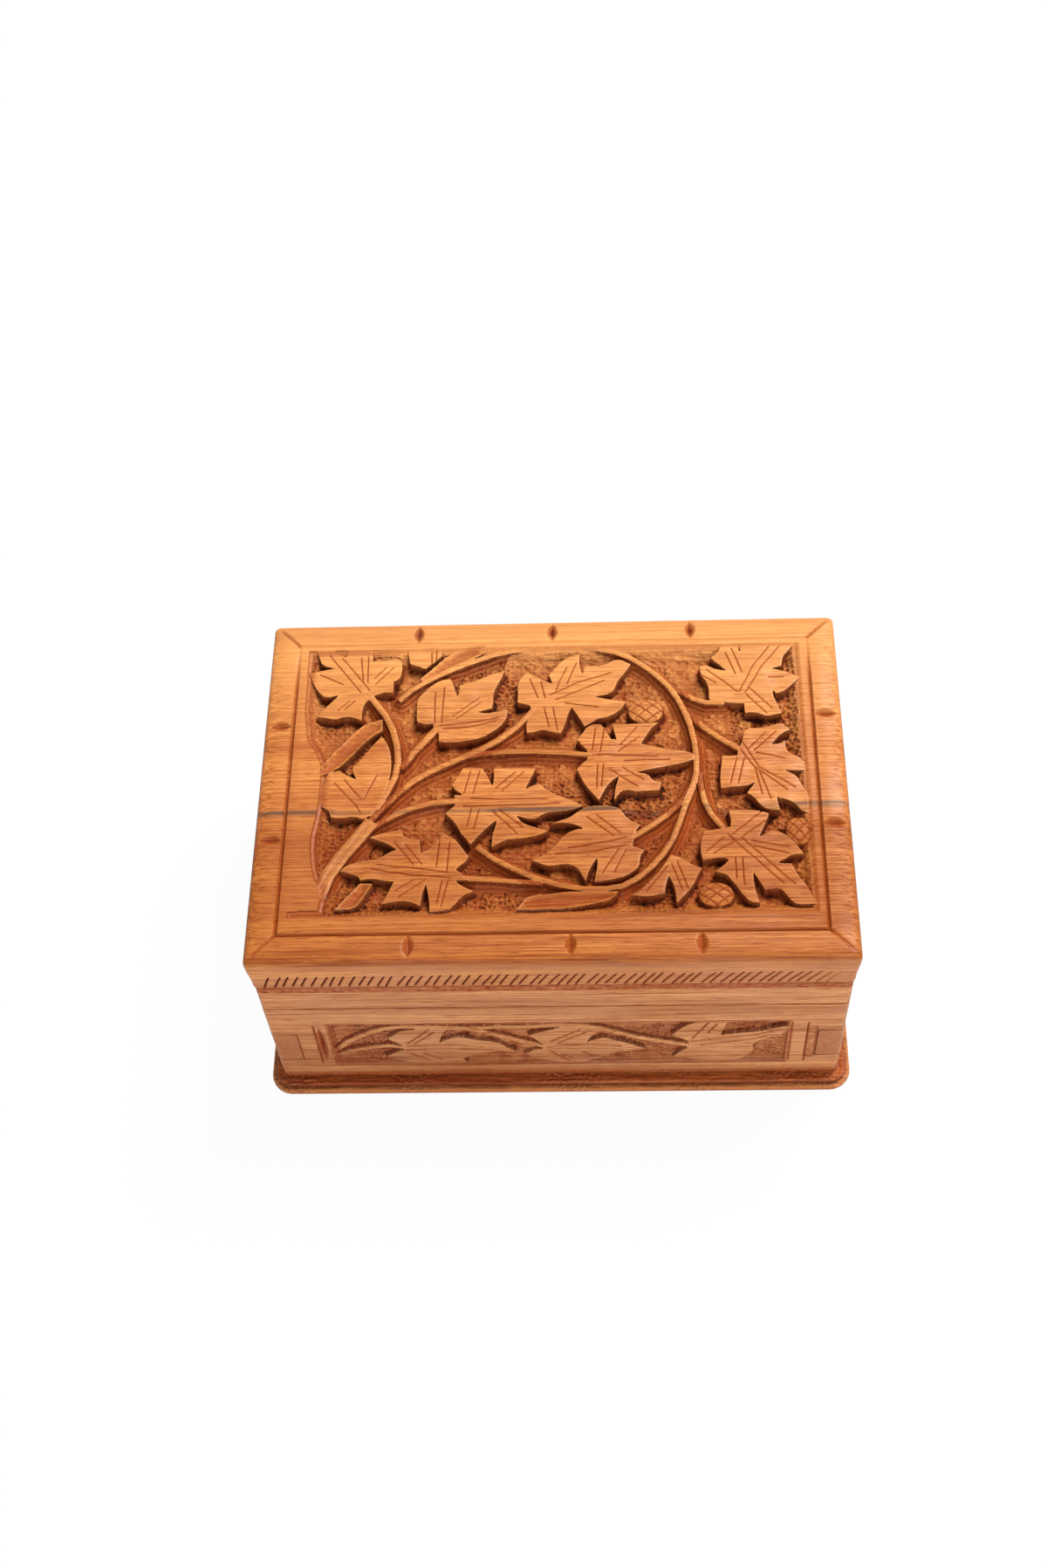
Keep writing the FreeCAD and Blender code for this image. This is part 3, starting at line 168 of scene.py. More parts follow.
# The lid's carving, as points from its left and its back edge
LID_FIELD = (
    (9.7, 8.6), (58, 8.6), (100, 8.6), (142.6, 8.6), (142.8, 50), (143, 92.2), (100, 92.6), (60, 92.6),
    (22, 92.4), (9.6, 92), (9.6, 90.3), (17.5, 90), (18, 85), (15.4, 80), (13.8, 70), (15.4, 60),
    (15.6, 50), (15, 44), (10, 36),
)
LID_LEAVES = (
    # back left, with a stem across it
    ((11.3, 7.5), (14.5, 7.1), (17.5, 9.4), (19.8, 10.9), (20.3, 7.5), (24, 7.2), (27, 8.2), (27.3, 12.3),
     (30.5, 12.2), (33.6, 11.2), (35.3, 12.4), (35.4, 16), (34.9, 18.4), (33.3, 19.3), (33.2, 22.9),
     (29.6, 22.9), (26.2, 25.5), (25.2, 28.3), (25.2, 32), (22.8, 30.7), (20.5, 30.5), (18, 31.5),
     (15.5, 30.8), (13.2, 30.5), (15.2, 27.6), (17.3, 25), (18.7, 23.3), (16.5, 23.9), (14.6, 24.1),
     (12.9, 22.2), (11.4, 19.6), (10.2, 16.2), (13, 15.3), (17.1, 14.6), (13.4, 13.3), (12.6, 11)),
    # inside the big arc, left
    ((40, 25.2), (41.3, 23.3), (43.8, 20.6), (46.3, 19), (48.6, 18.8), (49.4, 20.4), (50.7, 24.8),
     (51.5, 20.7), (54.5, 20), (57.3, 18.6), (60, 17.3), (63.2, 16.3), (62.5, 18.6), (61.4, 20.8),
     (60.2, 24), (60.3, 26.5), (60, 28.6), (56.1, 29.9), (59, 30.3), (61.3, 29.7), (64.3, 29.2),
     (63.9, 32.3), (62, 35), (59.6, 36.9), (57, 38.2), (53.5, 39), (49, 39.4), (46.2, 39), (46.1, 36.2),
     (44.4, 34.6), (44.6, 33.2), (42, 33.5), (40.1, 32.6), (39.9, 28.5)),
    # inside the big arc, back middle
    ((66.9, 26.9), (67, 23.5), (66.8, 21.5), (67.4, 19), (69.4, 16.6), (71, 18.2), (73.5, 19.6),
     (76.2, 20.8), (75.2, 17.8), (77.3, 15.3), (78.4, 13.6), (80.3, 12.2), (83.5, 11.1), (83.4, 14.5),
     (84.2, 18), (85.1, 15.2), (88, 15.2), (90.4, 14.9), (92.3, 13.6), (94.5, 13.1), (97.3, 14.9),
     (95.6, 17.8), (93.8, 20), (93, 22.3), (92, 24.3), (87.5, 25.4), (91, 26.3), (95.8, 27.2),
     (94.8, 29.3), (93, 31), (90.3, 32.3), (88.6, 32.2), (86.5, 33.8), (84.7, 34.9), (82.9, 31.3),
     (81.3, 28.6), (80.3, 31), (79.5, 34.5), (78.5, 37.1), (75.5, 36.4), (73.7, 35.7), (71.5, 36.4),
     (69.5, 36.7), (69.2, 34.4), (69.8, 32.4), (71, 30.6), (70.2, 27.9), (68.6, 27.4)),
    # inside the big arc, right
    ((85.2, 35.3), (87, 34.4), (89.2, 34.5), (90.5, 37), (91.8, 39.3), (93.2, 39.4), (92.6, 36.8),
     (92.2, 34.6), (96, 34.5), (100, 34.4), (104.4, 34), (102.3, 36), (100.8, 38.5), (99.6, 40.7),
     (103, 41.8), (107, 42.9), (110.5, 43.2), (113.5, 44.2), (113.5, 45.9), (110, 47.2), (106.5, 47.8),
     (103.8, 48.4), (98, 49.8), (101.2, 50.4), (102.4, 52.4), (104.6, 53), (104, 55.3), (101, 55.4),
     (98, 55.7), (95.2, 55), (93.5, 56.2), (92.3, 58.3), (92.7, 54.5), (93.7, 50.8), (91.6, 52.3),
     (90, 54.7), (88.4, 58.2), (86.6, 56), (85, 53.7), (83.8, 51.3), (82.7, 48.6), (84, 46.7),
     (85.6, 45.2), (85.6, 42.7), (83.9, 40.9), (82.8, 39.1), (84.2, 37.2)),
    # back right
    ((117.9, 26.6), (118.1, 24), (117.6, 21.3), (116, 18.6), (115.8, 16), (117.5, 15.5), (119.8, 16.9),
     (122.9, 17.6), (121.2, 15.6), (118.8, 13), (121, 11.2), (121.7, 9), (123.5, 7.9), (126, 8),
     (126.7, 11.9), (127.4, 8.3), (132, 7.4), (138, 7.1), (141.7, 8.7), (139.8, 11.2), (138.2, 13),
     (137.7, 16.2), (134.9, 17), (138, 17.9), (142.2, 20), (139.8, 23), (137.2, 24.9), (135.7, 25.1),
     (134.9, 23.8), (135, 26), (136, 29), (136.9, 31.7), (132.8, 32.6), (131.3, 31.7), (129.3, 31.2),
     (127.3, 31.4), (127.2, 28.3), (122, 28)),
    # right middle
    ((126.1, 40.6), (126.8, 37.2), (128, 36.3), (132, 36.2), (136.6, 35), (138.9, 37), (136.2, 38.4),
     (133.6, 41.7), (135.6, 41.5), (137.4, 40.4), (137.2, 42.6), (138.4, 44.6), (141.5, 46.2),
     (142.3, 49.8), (139, 49.9), (136.6, 49.8), (139.6, 51.6), (140.6, 54), (142.2, 57), (142.2, 63),
     (140.4, 62.3), (138.8, 60), (136.3, 58.5), (134.6, 58.3), (134.1, 57), (134.4, 60), (134.8, 62),
     (131.8, 61.8), (129.8, 60.4), (128.4, 58), (126.6, 56.6), (129, 53.2), (126.8, 54.4), (124.4, 54.7),
     (120, 55), (119.9, 51.5), (120.6, 46), (120.6, 45), (124.6, 45), (125, 43)),
    # front right
    ((119.2, 67.4), (121.9, 66.9), (122.2, 64.5), (121.6, 61.7), (126, 61.8), (129.8, 62.2), (131.9, 63),
     (131, 65.4), (129.9, 68), (129, 70), (130.6, 69.1), (132.4, 68.1), (134.6, 68.6), (136.6, 70),
     (138.2, 72.2), (140, 75.1), (137.3, 75.2), (135, 76.7), (133.2, 77.8), (136.8, 78), (137.6, 80),
     (138.6, 82.4), (140, 84), (141.2, 87), (142.6, 89.9), (137.3, 89.9), (135.7, 88.2), (134.4, 86.1),
     (133.2, 85), (129.7, 85.4), (128.3, 82.6), (127, 80.2), (127, 83), (127.4, 86), (128.1, 89.2),
     (126, 89), (124.4, 87.2), (122.9, 84.8), (121.4, 82.4), (120, 80.7), (117.4, 80), (119.6, 78.4),
     (121.1, 76.7), (119.4, 75.7), (114.5, 76.6), (114, 73.5), (114.3, 70.6), (115.2, 68), (117.2, 67.7)),
    # front, a half leaf between the big arc and the berry
    ((106.5, 74.9), (109, 75.8), (111.6, 77.9), (114.2, 79), (113.2, 80.8), (112.2, 83.2), (110.8, 85.4),
     (107.6, 89), (107.3, 84.6), (105.8, 80.9), (104.8, 84), (104.6, 86.2), (101, 87), (96.5, 86.6),
     (99, 84.8), (101.5, 82), (104.2, 78.6)),
    # front middle
    ((97.4, 68.1), (98.9, 65.8), (96.5, 64.6), (95.2, 63.3), (94.2, 61.4), (92.4, 60.1), (88, 59.9),
     (84.8, 60.3), (82.4, 62), (80.2, 63.8), (76, 65), (79.5, 64.9), (82.4, 65.5), (84.4, 66.8),
     (82, 67.2), (80, 68.3), (78.6, 69.4), (77.6, 71.2), (75.2, 73.6), (73.4, 74.8), (71.2, 76),
     (74.5, 77.5), (76.5, 77.8), (78.5, 77.2), (80.6, 77.2), (82.2, 78), (83.4, 79.3), (84.8, 82.4),
     (85.9, 78.6), (87.8, 75.4), (87.9, 78), (87, 82.6), (91, 82.1), (94.2, 81.3), (96.6, 79.9),
     (98.4, 78.3), (98.6, 75.2), (99.8, 73.4), (96.8, 72.2)),
    # middle
    ((50.8, 56), (53.2, 56), (51, 54.4), (50.1, 53), (51.5, 50.4), (52.9, 47.6), (55, 47.6), (57.9, 47.8),
     (59.4, 50.4), (60.7, 53.5), (61.1, 50.5), (61, 47.9), (64.5, 47.9), (68, 47.8), (71.9, 48.1),
     (70.8, 50.7), (69.2, 54.7), (71, 53.5), (73.2, 53), (74.6, 54.6), (76.2, 55.7), (80, 57.5),
     (84.2, 59.9), (82, 60.8), (79.5, 61.3), (76, 61.5), (74, 62.1), (72.3, 63.6), (70, 63.5),
     (66.9, 62.5), (68.6, 64.7), (70.6, 65.8), (75.3, 67.4), (73, 68.6), (70, 69.2), (66.5, 69.6),
     (64.3, 69.8), (60.8, 72), (61, 68.4), (61.6, 66), (62.1, 63.7), (60, 65.4), (58, 67.8), (55.4, 71.2),
     (54.4, 69.6), (53, 67.9), (51.8, 65.4), (50.4, 63.4), (48.6, 61.8), (50, 60.2), (51.3, 58.9)),
    # front left
    ((22.3, 78.5), (24, 76.9), (27.3, 75.7), (31.8, 75.2), (34.7, 73.1), (36.5, 72.4), (35, 71.2),
     (33, 69.9), (29.2, 68.6), (32, 67.5), (35, 66.8), (37.2, 66.5), (38.6, 68.9), (42.2, 69.2),
     (42.7, 73.4), (44.8, 72.4), (46.8, 70), (48.4, 67.6), (50, 68.5), (51.6, 69.6), (52.8, 71.5),
     (55, 74.6), (54.4, 76), (52.9, 77.3), (51.8, 78.5), (54, 80), (55, 81.6), (51.8, 81.6), (53, 83),
     (56.6, 85), (54.4, 85.7), (53, 87.1), (51.8, 88.8), (50.4, 90.3), (45.6, 90.7), (45.5, 87.5),
     (44.4, 82.5), (43.5, 85.5), (43.2, 88.9), (40.5, 87.7), (38, 87.4), (33.3, 88.2), (34.6, 86),
     (36.2, 81.8), (33.5, 81.4), (30.5, 80.7), (27.6, 81.3), (27, 79.8)),
    # left middle
    ((30.9, 37), (33, 40.5), (33.8, 44.5), (33.9, 48.5), (33.2, 52.5), (31.6, 57), (30, 61.3), (27.2, 63),
     (25.2, 62), (21.8, 62.5), (18.9, 62.3), (18.3, 60.2), (16.2, 59), (16, 55.5), (16.4, 51),
     (17.2, 48.9), (20.2, 47.6), (22.6, 49.6), (25, 50.8), (23.7, 48), (24, 46.2), (25.6, 44.9),
     (26.6, 43), (28, 41)),
    # a leaf's tip at the back, then the hollow bracts
    ((36.8, 9.5), (40.5, 7.6), (45.4, 7.4), (46.2, 11), (44.5, 12.6), (41.8, 15.2), (37.5, 13.4)),
    ((40.5, 18.5), (43.5, 15.5), (46.5, 12), (50.5, 9), (54, 7.2), (58.9, 6.9), (58, 9.5), (56, 11.3),
     (50, 14.5), (45, 17.6), (41, 19.5)),
    ((30.8, 31.6), (26.6, 33), (23.4, 35.9), (20.6, 39.6), (18.2, 42.3), (15.2, 46.5), (13.6, 49),
     (16.5, 49.4), (19.8, 47.2), (22.4, 44.4), (25, 41), (28, 37.4), (31, 35.2)),
    ((70, 86.6), (75, 86), (82, 85.3), (93, 85.3), (92, 87.3), (88, 88.7), (84, 89.5), (80, 90.2),
     (72, 90.4), (67.5, 90.4), (68.8, 88.4)),
    ((21.5, 89.8), (24, 86.8), (27.6, 82.2), (30.8, 82.4), (29, 86), (26.6, 89.6)),
)
# each stem's width, then points along its middle
LID_STEMS = (
    (2.0, ((24, 19.5), (26.5, 23), (29, 26.5), (31.6, 30.2), (33.8, 35), (35.1, 40), (35.6, 45), (35, 50),
           (33, 55), (30.5, 60))),
    (1.7, ((35, 25.5), (38, 22.3), (42, 19.4), (46, 17), (50, 15), (55, 12.8), (60, 10.8), (65, 9.6),
           (70, 8.9), (76, 8.4), (82, 8.5), (88, 9.3), (93, 10.4), (97, 12.4), (100.5, 15), (104, 18.3),
           (107, 21.8), (109.5, 26), (111.3, 30.5), (112.7, 35), (113.6, 40), (114, 45), (113.8, 50),
           (112.6, 55), (110.6, 60), (109, 65), (107.2, 70), (104.6, 74.4), (101.4, 78.4), (98, 81.5),
           (94, 83.8), (90, 84.5), (84, 84.4), (78, 83.2), (72, 81.1), (66, 78), (61, 75), (57, 71.6))),
    (4.4, ((17, 86.5), (19, 80), (22.4, 74), (26.4, 68.4), (29.6, 63.6))),
    (1.9, ((28, 65), (31.8, 60), (36, 55), (40, 51.2), (45, 48), (50, 45.4), (57, 42), (62, 38.8),
           (66.4, 35), (70, 30.8), (72, 28))),
    (1.8, ((26.5, 69), (31, 64.6), (35, 62), (40, 59.6), (45, 58.2), (52, 57.6))),
    (1.7, ((54, 43.8), (58, 43), (64, 42.5), (72, 42.5), (79, 43), (87, 44.1))),
    (2.2, ((36.4, 47.4), (39.4, 42.6), (42.4, 38.8), (45.6, 34.6))),
    (1.6, ((108, 23), (110.8, 24.4), (113.4, 26.3), (117, 27.7), (122, 27.8))),
    (1.7, ((111.6, 31), (114, 33.6), (117.4, 36.8), (121, 39.8), (125.6, 43))),
    (1.7, ((114.6, 50), (114.9, 55), (115.7, 59), (117.2, 62.8), (120.2, 67.2))),
    (1.7, ((113.4, 52.4), (110.4, 58), (106.4, 62.4), (101.8, 66), (96, 70))),
    (1.5, ((52.5, 80.9), (60, 81.4), (66, 82), (74, 82.6))),
)
# each berry's middle and half widths
LID_BERRIES = (((101, 30), (4.6, 3.9)), ((139.2, 68), (3.3, 4.1)), ((117.6, 86.4), (4.4, 3.5)))
# cut lines on the lid's leaves, leaf by leaf in the same order
LID_VEINS = (
    ((15.2, 10), (20, 16.5), (24.5, 22.7)), ((18.7, 11), (22.5, 16), (26.8, 22)),
    ((24, 11), (25, 19.5)), ((25.9, 10.5), (26.2, 19.5)), ((31, 14.5), (28, 18)),
    ((33, 14.5), (28.3, 20)),
    ((13, 16.5), (19.5, 19.8)), ((21.5, 25.5), (18.5, 28.5)), ((23, 25.5), (20.5, 28)),
    ((44.6, 23), (44.8, 33)), ((47.1, 21.5), (46.6, 33)), ((56.5, 25), (49.5, 31)),
    ((57, 26.5), (50.5, 31.8)),
    ((46, 34), (54, 33.2), (62, 31.5)), ((47, 35), (54, 34.6), (61, 32.7)),
    ((70, 19), (72.3, 25.5)), ((73, 20), (74.2, 25.5)), ((80, 15.5), (78, 20), (77, 23.5)),
    ((82.6, 14), (80, 21)), ((92, 17.5), (83, 20.5), (75.5, 24.5)), ((90, 20), (85, 22.5), (77, 26)),
    ((79.5, 27.2), (88.5, 28.8)), ((73.9, 28.5), (75.3, 35)), ((76.3, 28.5), (77.5, 36)),
    ((88, 43.8), (104, 44.9)), ((95, 46), (107, 45.8)), ((87.6, 35.5), (86.7, 42.5)),
    ((89.8, 36), (88.8, 43)),
    ((98.5, 35.5), (94, 41)), ((99, 38.5), (93.5, 43)), ((88, 47), (87.8, 54.5)), ((89.6, 47), (89, 54)),
    ((91, 48.5), (98.5, 54.2)), ((94.5, 48), (100, 52)),
    ((134.7, 9.5), (130, 16), (126, 24.5)), ((137.5, 9.5), (132.5, 16), (127.5, 25)),
    ((122.8, 11.5), (125.3, 18.5)), ((124.5, 10), (127, 17.8)),
    ((117.5, 17), (122.5, 21.5), (125.5, 24.5)),
    ((116.5, 19), (120, 21.5)), ((128.5, 23), (134.5, 30)), ((127.8, 25.5), (133, 31.5)),
    ((134, 19.8), (138, 19.8)),
    ((126, 40.5), (130, 48.5), (139, 55)), ((125.5, 43), (128.5, 48), (137, 55.8)),
    ((132.3, 37.5), (127.5, 43)), ((135, 37.5), (129, 43.5)), ((129.5, 44), (137, 46)),
    ((124.4, 45.5), (122.5, 53.5)), ((126.4, 45.5), (124.5, 53.5)), ((129, 48.5), (130.5, 57)),
    ((130, 49.5), (132.7, 58.5)),
    ((121, 69), (134.5, 83.7)), ((124.5, 70), (137.3, 84)), ((122, 69.3), (130, 62.3)),
    ((125, 69.5), (131, 65)),
    ((120, 70), (115.5, 74)), ((122.5, 71.2), (117.3, 74.5)), ((127, 71), (136.5, 73)),
    ((127.5, 72.5), (136.5, 75)), ((122.7, 76), (122.8, 82)), ((124.5, 76), (124.6, 84)),
    ((106.5, 77.5), (109, 85)), ((108, 77), (110.5, 84.8)), ((105.2, 76), (98, 85)),
    ((105.6, 78), (100, 85.6)),
    ((95.2, 69.5), (90, 70.8), (80.5, 72.5)), ((95, 71.8), (87, 73.6), (77, 74.3)), ((85, 63), (92, 69)),
    ((87.5, 62.5), (94, 68.5)), ((93.3, 72.8), (89, 80)), ((95, 73.3), (92, 79.8)),
    ((55, 57), (62, 57.4), (75, 57.3)), ((53, 59.5), (66, 59.2), (78, 58.9)),
    ((54.8, 48.5), (53.2, 55.5)),
    ((57.2, 48.5), (55.6, 55.5)), ((66.5, 49), (61.5, 54)), ((68.7, 49), (63, 55)),
    ((55.3, 60), (54.3, 65.5)),
    ((57.3, 60.5), (56, 66.5)), ((60.8, 61), (67.3, 68)), ((62.3, 60.5), (68.7, 66)),
    ((31.5, 76.7), (40, 77.7), (49.7, 79.2)), ((30, 77.9), (40, 79.8), (50.7, 80.8)),
    ((35.5, 69.7), (38, 73), (41, 77)), ((38.5, 70.7), (43, 76.7)), ((47.4, 69.5), (46.8, 77.5)),
    ((50, 70), (49.5, 79)), ((41, 81.3), (36.5, 84.5)), ((44, 81.3), (37.5, 86.3)),
    ((48.4, 81.5), (47.2, 88.5)),
    ((49.9, 81.5), (48.4, 89.3)),
    ((19.2, 51.8), (25, 58.5), (26.5, 61)), ((21.5, 50.5), (26.5, 56.8)), ((30.2, 49.5), (27, 57)),
    ((43.2, 9.5), (43.4, 14)), ((44.5, 9), (44.6, 13)),
)

# The frieze's carving, as points from the left end of the front and down from the lid's upper edge
FRIEZE_FIELD = ((15.5, 35.4), (137.4, 35.4), (137.4, 57.6), (15.5, 57.6))
FRIEZE_LEAVES = (
    ((34.9, 47.6), (33, 45.4), (31, 43.2), (33.2, 41.3), (34.6, 39.4), (38, 38.5), (43, 38.3),
     (47.4, 38.4), (45.8, 41), (44.5, 45.8), (47, 44), (49.5, 42.6), (52.4, 43.2), (55, 44.6),
     (58.5, 45.4), (61, 46.4), (62.5, 48.6), (65, 50.4), (60, 50.9), (55, 51.8), (53, 53.4), (50.2, 55),
     (51.5, 56.8), (48, 57.4), (38, 57.4), (34.6, 55.6), (32.8, 54.5), (29.5, 53.3), (33, 50.8),
     (35, 49.8)),
    ((72.6, 48), (71.8, 46.6), (70, 44), (68.6, 42.2), (71, 41), (74, 39.3), (76.5, 38.3), (80, 38),
     (84, 38.4), (88.2, 39.4), (85.4, 42.6), (83.9, 46.6), (86, 45), (88.6, 43.7), (91.5, 45.2),
     (94.5, 46.8), (99.5, 50.3), (95, 51.2), (91, 52.2), (88.6, 54.2), (85.5, 55.6), (82, 57.4),
     (77.5, 57.4), (73, 56.2), (69.9, 54.9), (67.3, 52.2), (69.6, 50.6), (72.4, 49.6)),
    ((111.4, 48.2), (110.6, 45.4), (106.6, 42.9), (108.6, 39.6), (110.4, 37.4), (113, 35.9), (121, 36),
     (120.4, 38.2), (119.4, 43), (124, 41.8), (129, 41.6), (133, 39.6), (137.2, 38.4), (137, 41.5),
     (134, 43.6), (130.4, 45.6), (128, 48.6), (128.6, 51.5), (126.4, 55), (124, 56.8), (118, 57.3),
     (113.8, 56.7), (110.5, 55.2), (107, 54.9), (109.2, 51.6), (111.2, 49.4)),
)
FRIEZE_STEMS = (
    (1.6, ((15.6, 50.5), (18, 48), (20, 45.3), (23, 42.8), (27, 40), (31, 38.2), (35, 37.3), (40, 37.4),
           (45, 37.8), (50, 38.2), (55, 39.4), (58, 41), (62, 43), (66, 45.3), (70, 47.5), (72.6, 48.8))),
    (1.4, ((15.6, 52.6), (20, 50.3), (26, 48.5), (31, 47.6), (35, 48.7))),
    (1.6, ((52, 38.6), (60, 38), (66, 37.9), (72, 37.6), (77, 37.2), (83, 37.6), (88, 39), (92, 41.4),
           (97, 44), (103, 46.2), (111.4, 48.9))),
)
SIDE_FRIEZE_SHIFT = -13.0  # moves the first two leaves to the middle of the shorter sides
SIDE_FRIEZE_FIELD = ((12, 35.4), (92, 35.4), (92, 57.6), (12, 57.6))
FRIEZE_VEINS = (
    ((36, 47.8), (42, 47.2), (50, 47.3), (56, 48.2)), ((35.5, 50), (42, 49.2), (50, 49.2), (58.5, 50.1)),
    ((42.3, 38.9), (36, 46.3)), ((43.6, 40.3), (37.8, 46.4)), ((36.5, 52), (41, 55.5)),
    ((40, 52), (44.5, 55)),
    ((73.5, 48.5), (79, 47.5), (86, 47.6), (93, 48.6)), ((73.2, 49.9), (86, 49.7), (93.5, 50.6)),
    ((82.3, 39.6), (74.5, 45.6)), ((83.8, 41), (76.5, 46.5)), ((74, 51), (79, 56.5)),
    ((77, 53), (80, 55)),
    ((82.5, 51.5), (85, 53.8), (88.5, 54.2)),
    ((111.8, 46.5), (120, 44.7), (128, 43.2), (133, 41.3)),
    ((114.5, 48.3), (121, 46.8), (128, 45.5), (133, 43)), ((116, 36.6), (112, 45)),
    ((118.3, 37.2), (116.1, 42.3)),
)
SIDE_VEINS = 13  # how many of them belong to the first two leaves
# cuts that frame the frieze on the long sides
FRIEZE_FRAME = (
    ((12.0, 36.0), (12.0, 56.0)), ((137.9, 36.0), (137.9, 56.5)), ((142.2, 36.5), (142.2, 57.0)),
    ((15.5, 35.2), (137.5, 35.2)), ((15.5, 57.8), (137.5, 57.8)),
)
FRIEZE_RECESS = (143.4, 46.5, 1.2, 8.5)  # middle and half sizes of the rough recess beside the right post
FRIEZE_LENS = (13.3, 45.8, 1.35, 9.6)  # middle and half sizes of the lens-shaped cut beside the left post


# Drawing helpers

def ease(share):
    """From 0 to 1 with soft ends."""
    share = np.clip(share, 0.0, 1.0)
    return share * share * (3 - 2 * share)


def wander(across, along, pitch, seed):
    """Hand-made unevenness between about -1 and 1, with humps about pitch apart."""
    random = np.random.default_rng(seed)
    total = 0.0
    for _ in range(6):
        turn, phase = random.uniform(0, 2 * math.pi, 2)
        rate = 2 * math.pi / pitch * random.uniform(0.6, 1.5)
        total = total + np.sin((across * math.cos(turn) + along * math.sin(turn)) * rate + phase)
    return total / 3.5


def rounded(outline):
    """Cuts the shallow corners of a drawn outline once and leaves its points sharp."""
    corners = np.array(outline, float)
    before, after = np.roll(corners, 1, axis=0), np.roll(corners, -1, axis=0)
    result = []
    for last, corner, following in zip(before, corners, after):
        arrive, leave = corner - last, following - corner
        turn = abs(math.atan2(arrive[0] * leave[1] - arrive[1] * leave[0], arrive @ leave))
        if turn < math.radians(55):
            result += [corner - arrive * 0.25, corner + leave * 0.25]
        else:
            result.append(corner)
    return np.array(result)


def band(width, middle):
    """The outline of a stem that has an even width along its middle points."""
    near, far = [], []
    for i, (x, y) in enumerate(middle):
        before, after = middle[max(i - 1, 0)], middle[min(i + 1, len(middle) - 1)]
        run, rise = after[0] - before[0], after[1] - before[1]
        reach = width / 2 / math.hypot(run, rise)
        near.append((x - rise * reach, y + run * reach))
        far.append((x + rise * reach, y - run * reach))
    return np.array(near + far[::-1])


def nearest(points, line):
    """How far each point is from a line of points, and the place on the line that is nearest to it."""
    best = np.full(len(points), FAR)
    place = points.copy()
    line = np.array(line, float)
    near = np.all((points > line.min(0) - SEARCH_MARGIN) & (points < line.max(0) + SEARCH_MARGIN), axis=1)
    chosen = np.flatnonzero(near)
    spots = points[chosen]
    gap, found = best[chosen], spots.copy()
    for start, end in zip(line[:-1], line[1:]):
        run = end - start
        share = np.clip((spots - start) @ run / (run @ run), 0, 1)
        reached = start + share[:, None] * run
        distance = np.hypot(*(spots - reached).T)
        closer = distance < gap
        gap[closer] = distance[closer]
        found[closer] = reached[closer]
    best[chosen], place[chosen] = gap, found
    return best, place


def inside(points, outline):
    """Whether each point lies inside an outline."""
    x, y = points.T
    result = np.zeros(len(points), bool)
    for (x0, y0), (x1, y1) in zip(outline, np.roll(outline, -1, axis=0)):
        if y0 != y1:
            result ^= ((y0 > y) != (y1 > y)) & (x < x0 + (y - y0) / (y1 - y0) * (x1 - x0))
    return result


def outline_gap(points, outline):
    """Distance from an outline, negative inside it, and the nearest place on it."""
    outline = np.array(outline, float)
    gap, place = nearest(points, np.vstack([outline, outline[:1]]))
    return np.where(inside(points, outline), -gap, gap), place


def pulled_to(points, lines, reach, free):
    """Moves the free points that are within reach of a line onto it, so that cuts stay crisp."""
    best = np.full(len(points), reach)
    moved = points.copy()
    for line in lines:
        gap, place = nearest(points, line)
        closer = (gap < best) & free
        best[closer] = gap[closer]
        moved[closer] = place[closer]
    return moved


def cut_gap(points, lines):
    """How far each point is from the nearest of some lines."""
    best = np.full(len(points), FAR)
    for line in lines:
        best = np.minimum(best, nearest(points, line)[0])
    return best


def lens_cut(along, across, half_length, half_width):
    """How deep places lie in a lens-shaped cut, from 0 at its outline to 1 at its middle."""
    lens = np.clip(1 - (along / half_length) ** 2, 1e-3, 1)
    return lens * np.clip(1 - np.abs(across) / (half_width * lens), 0, 1)


# Carving

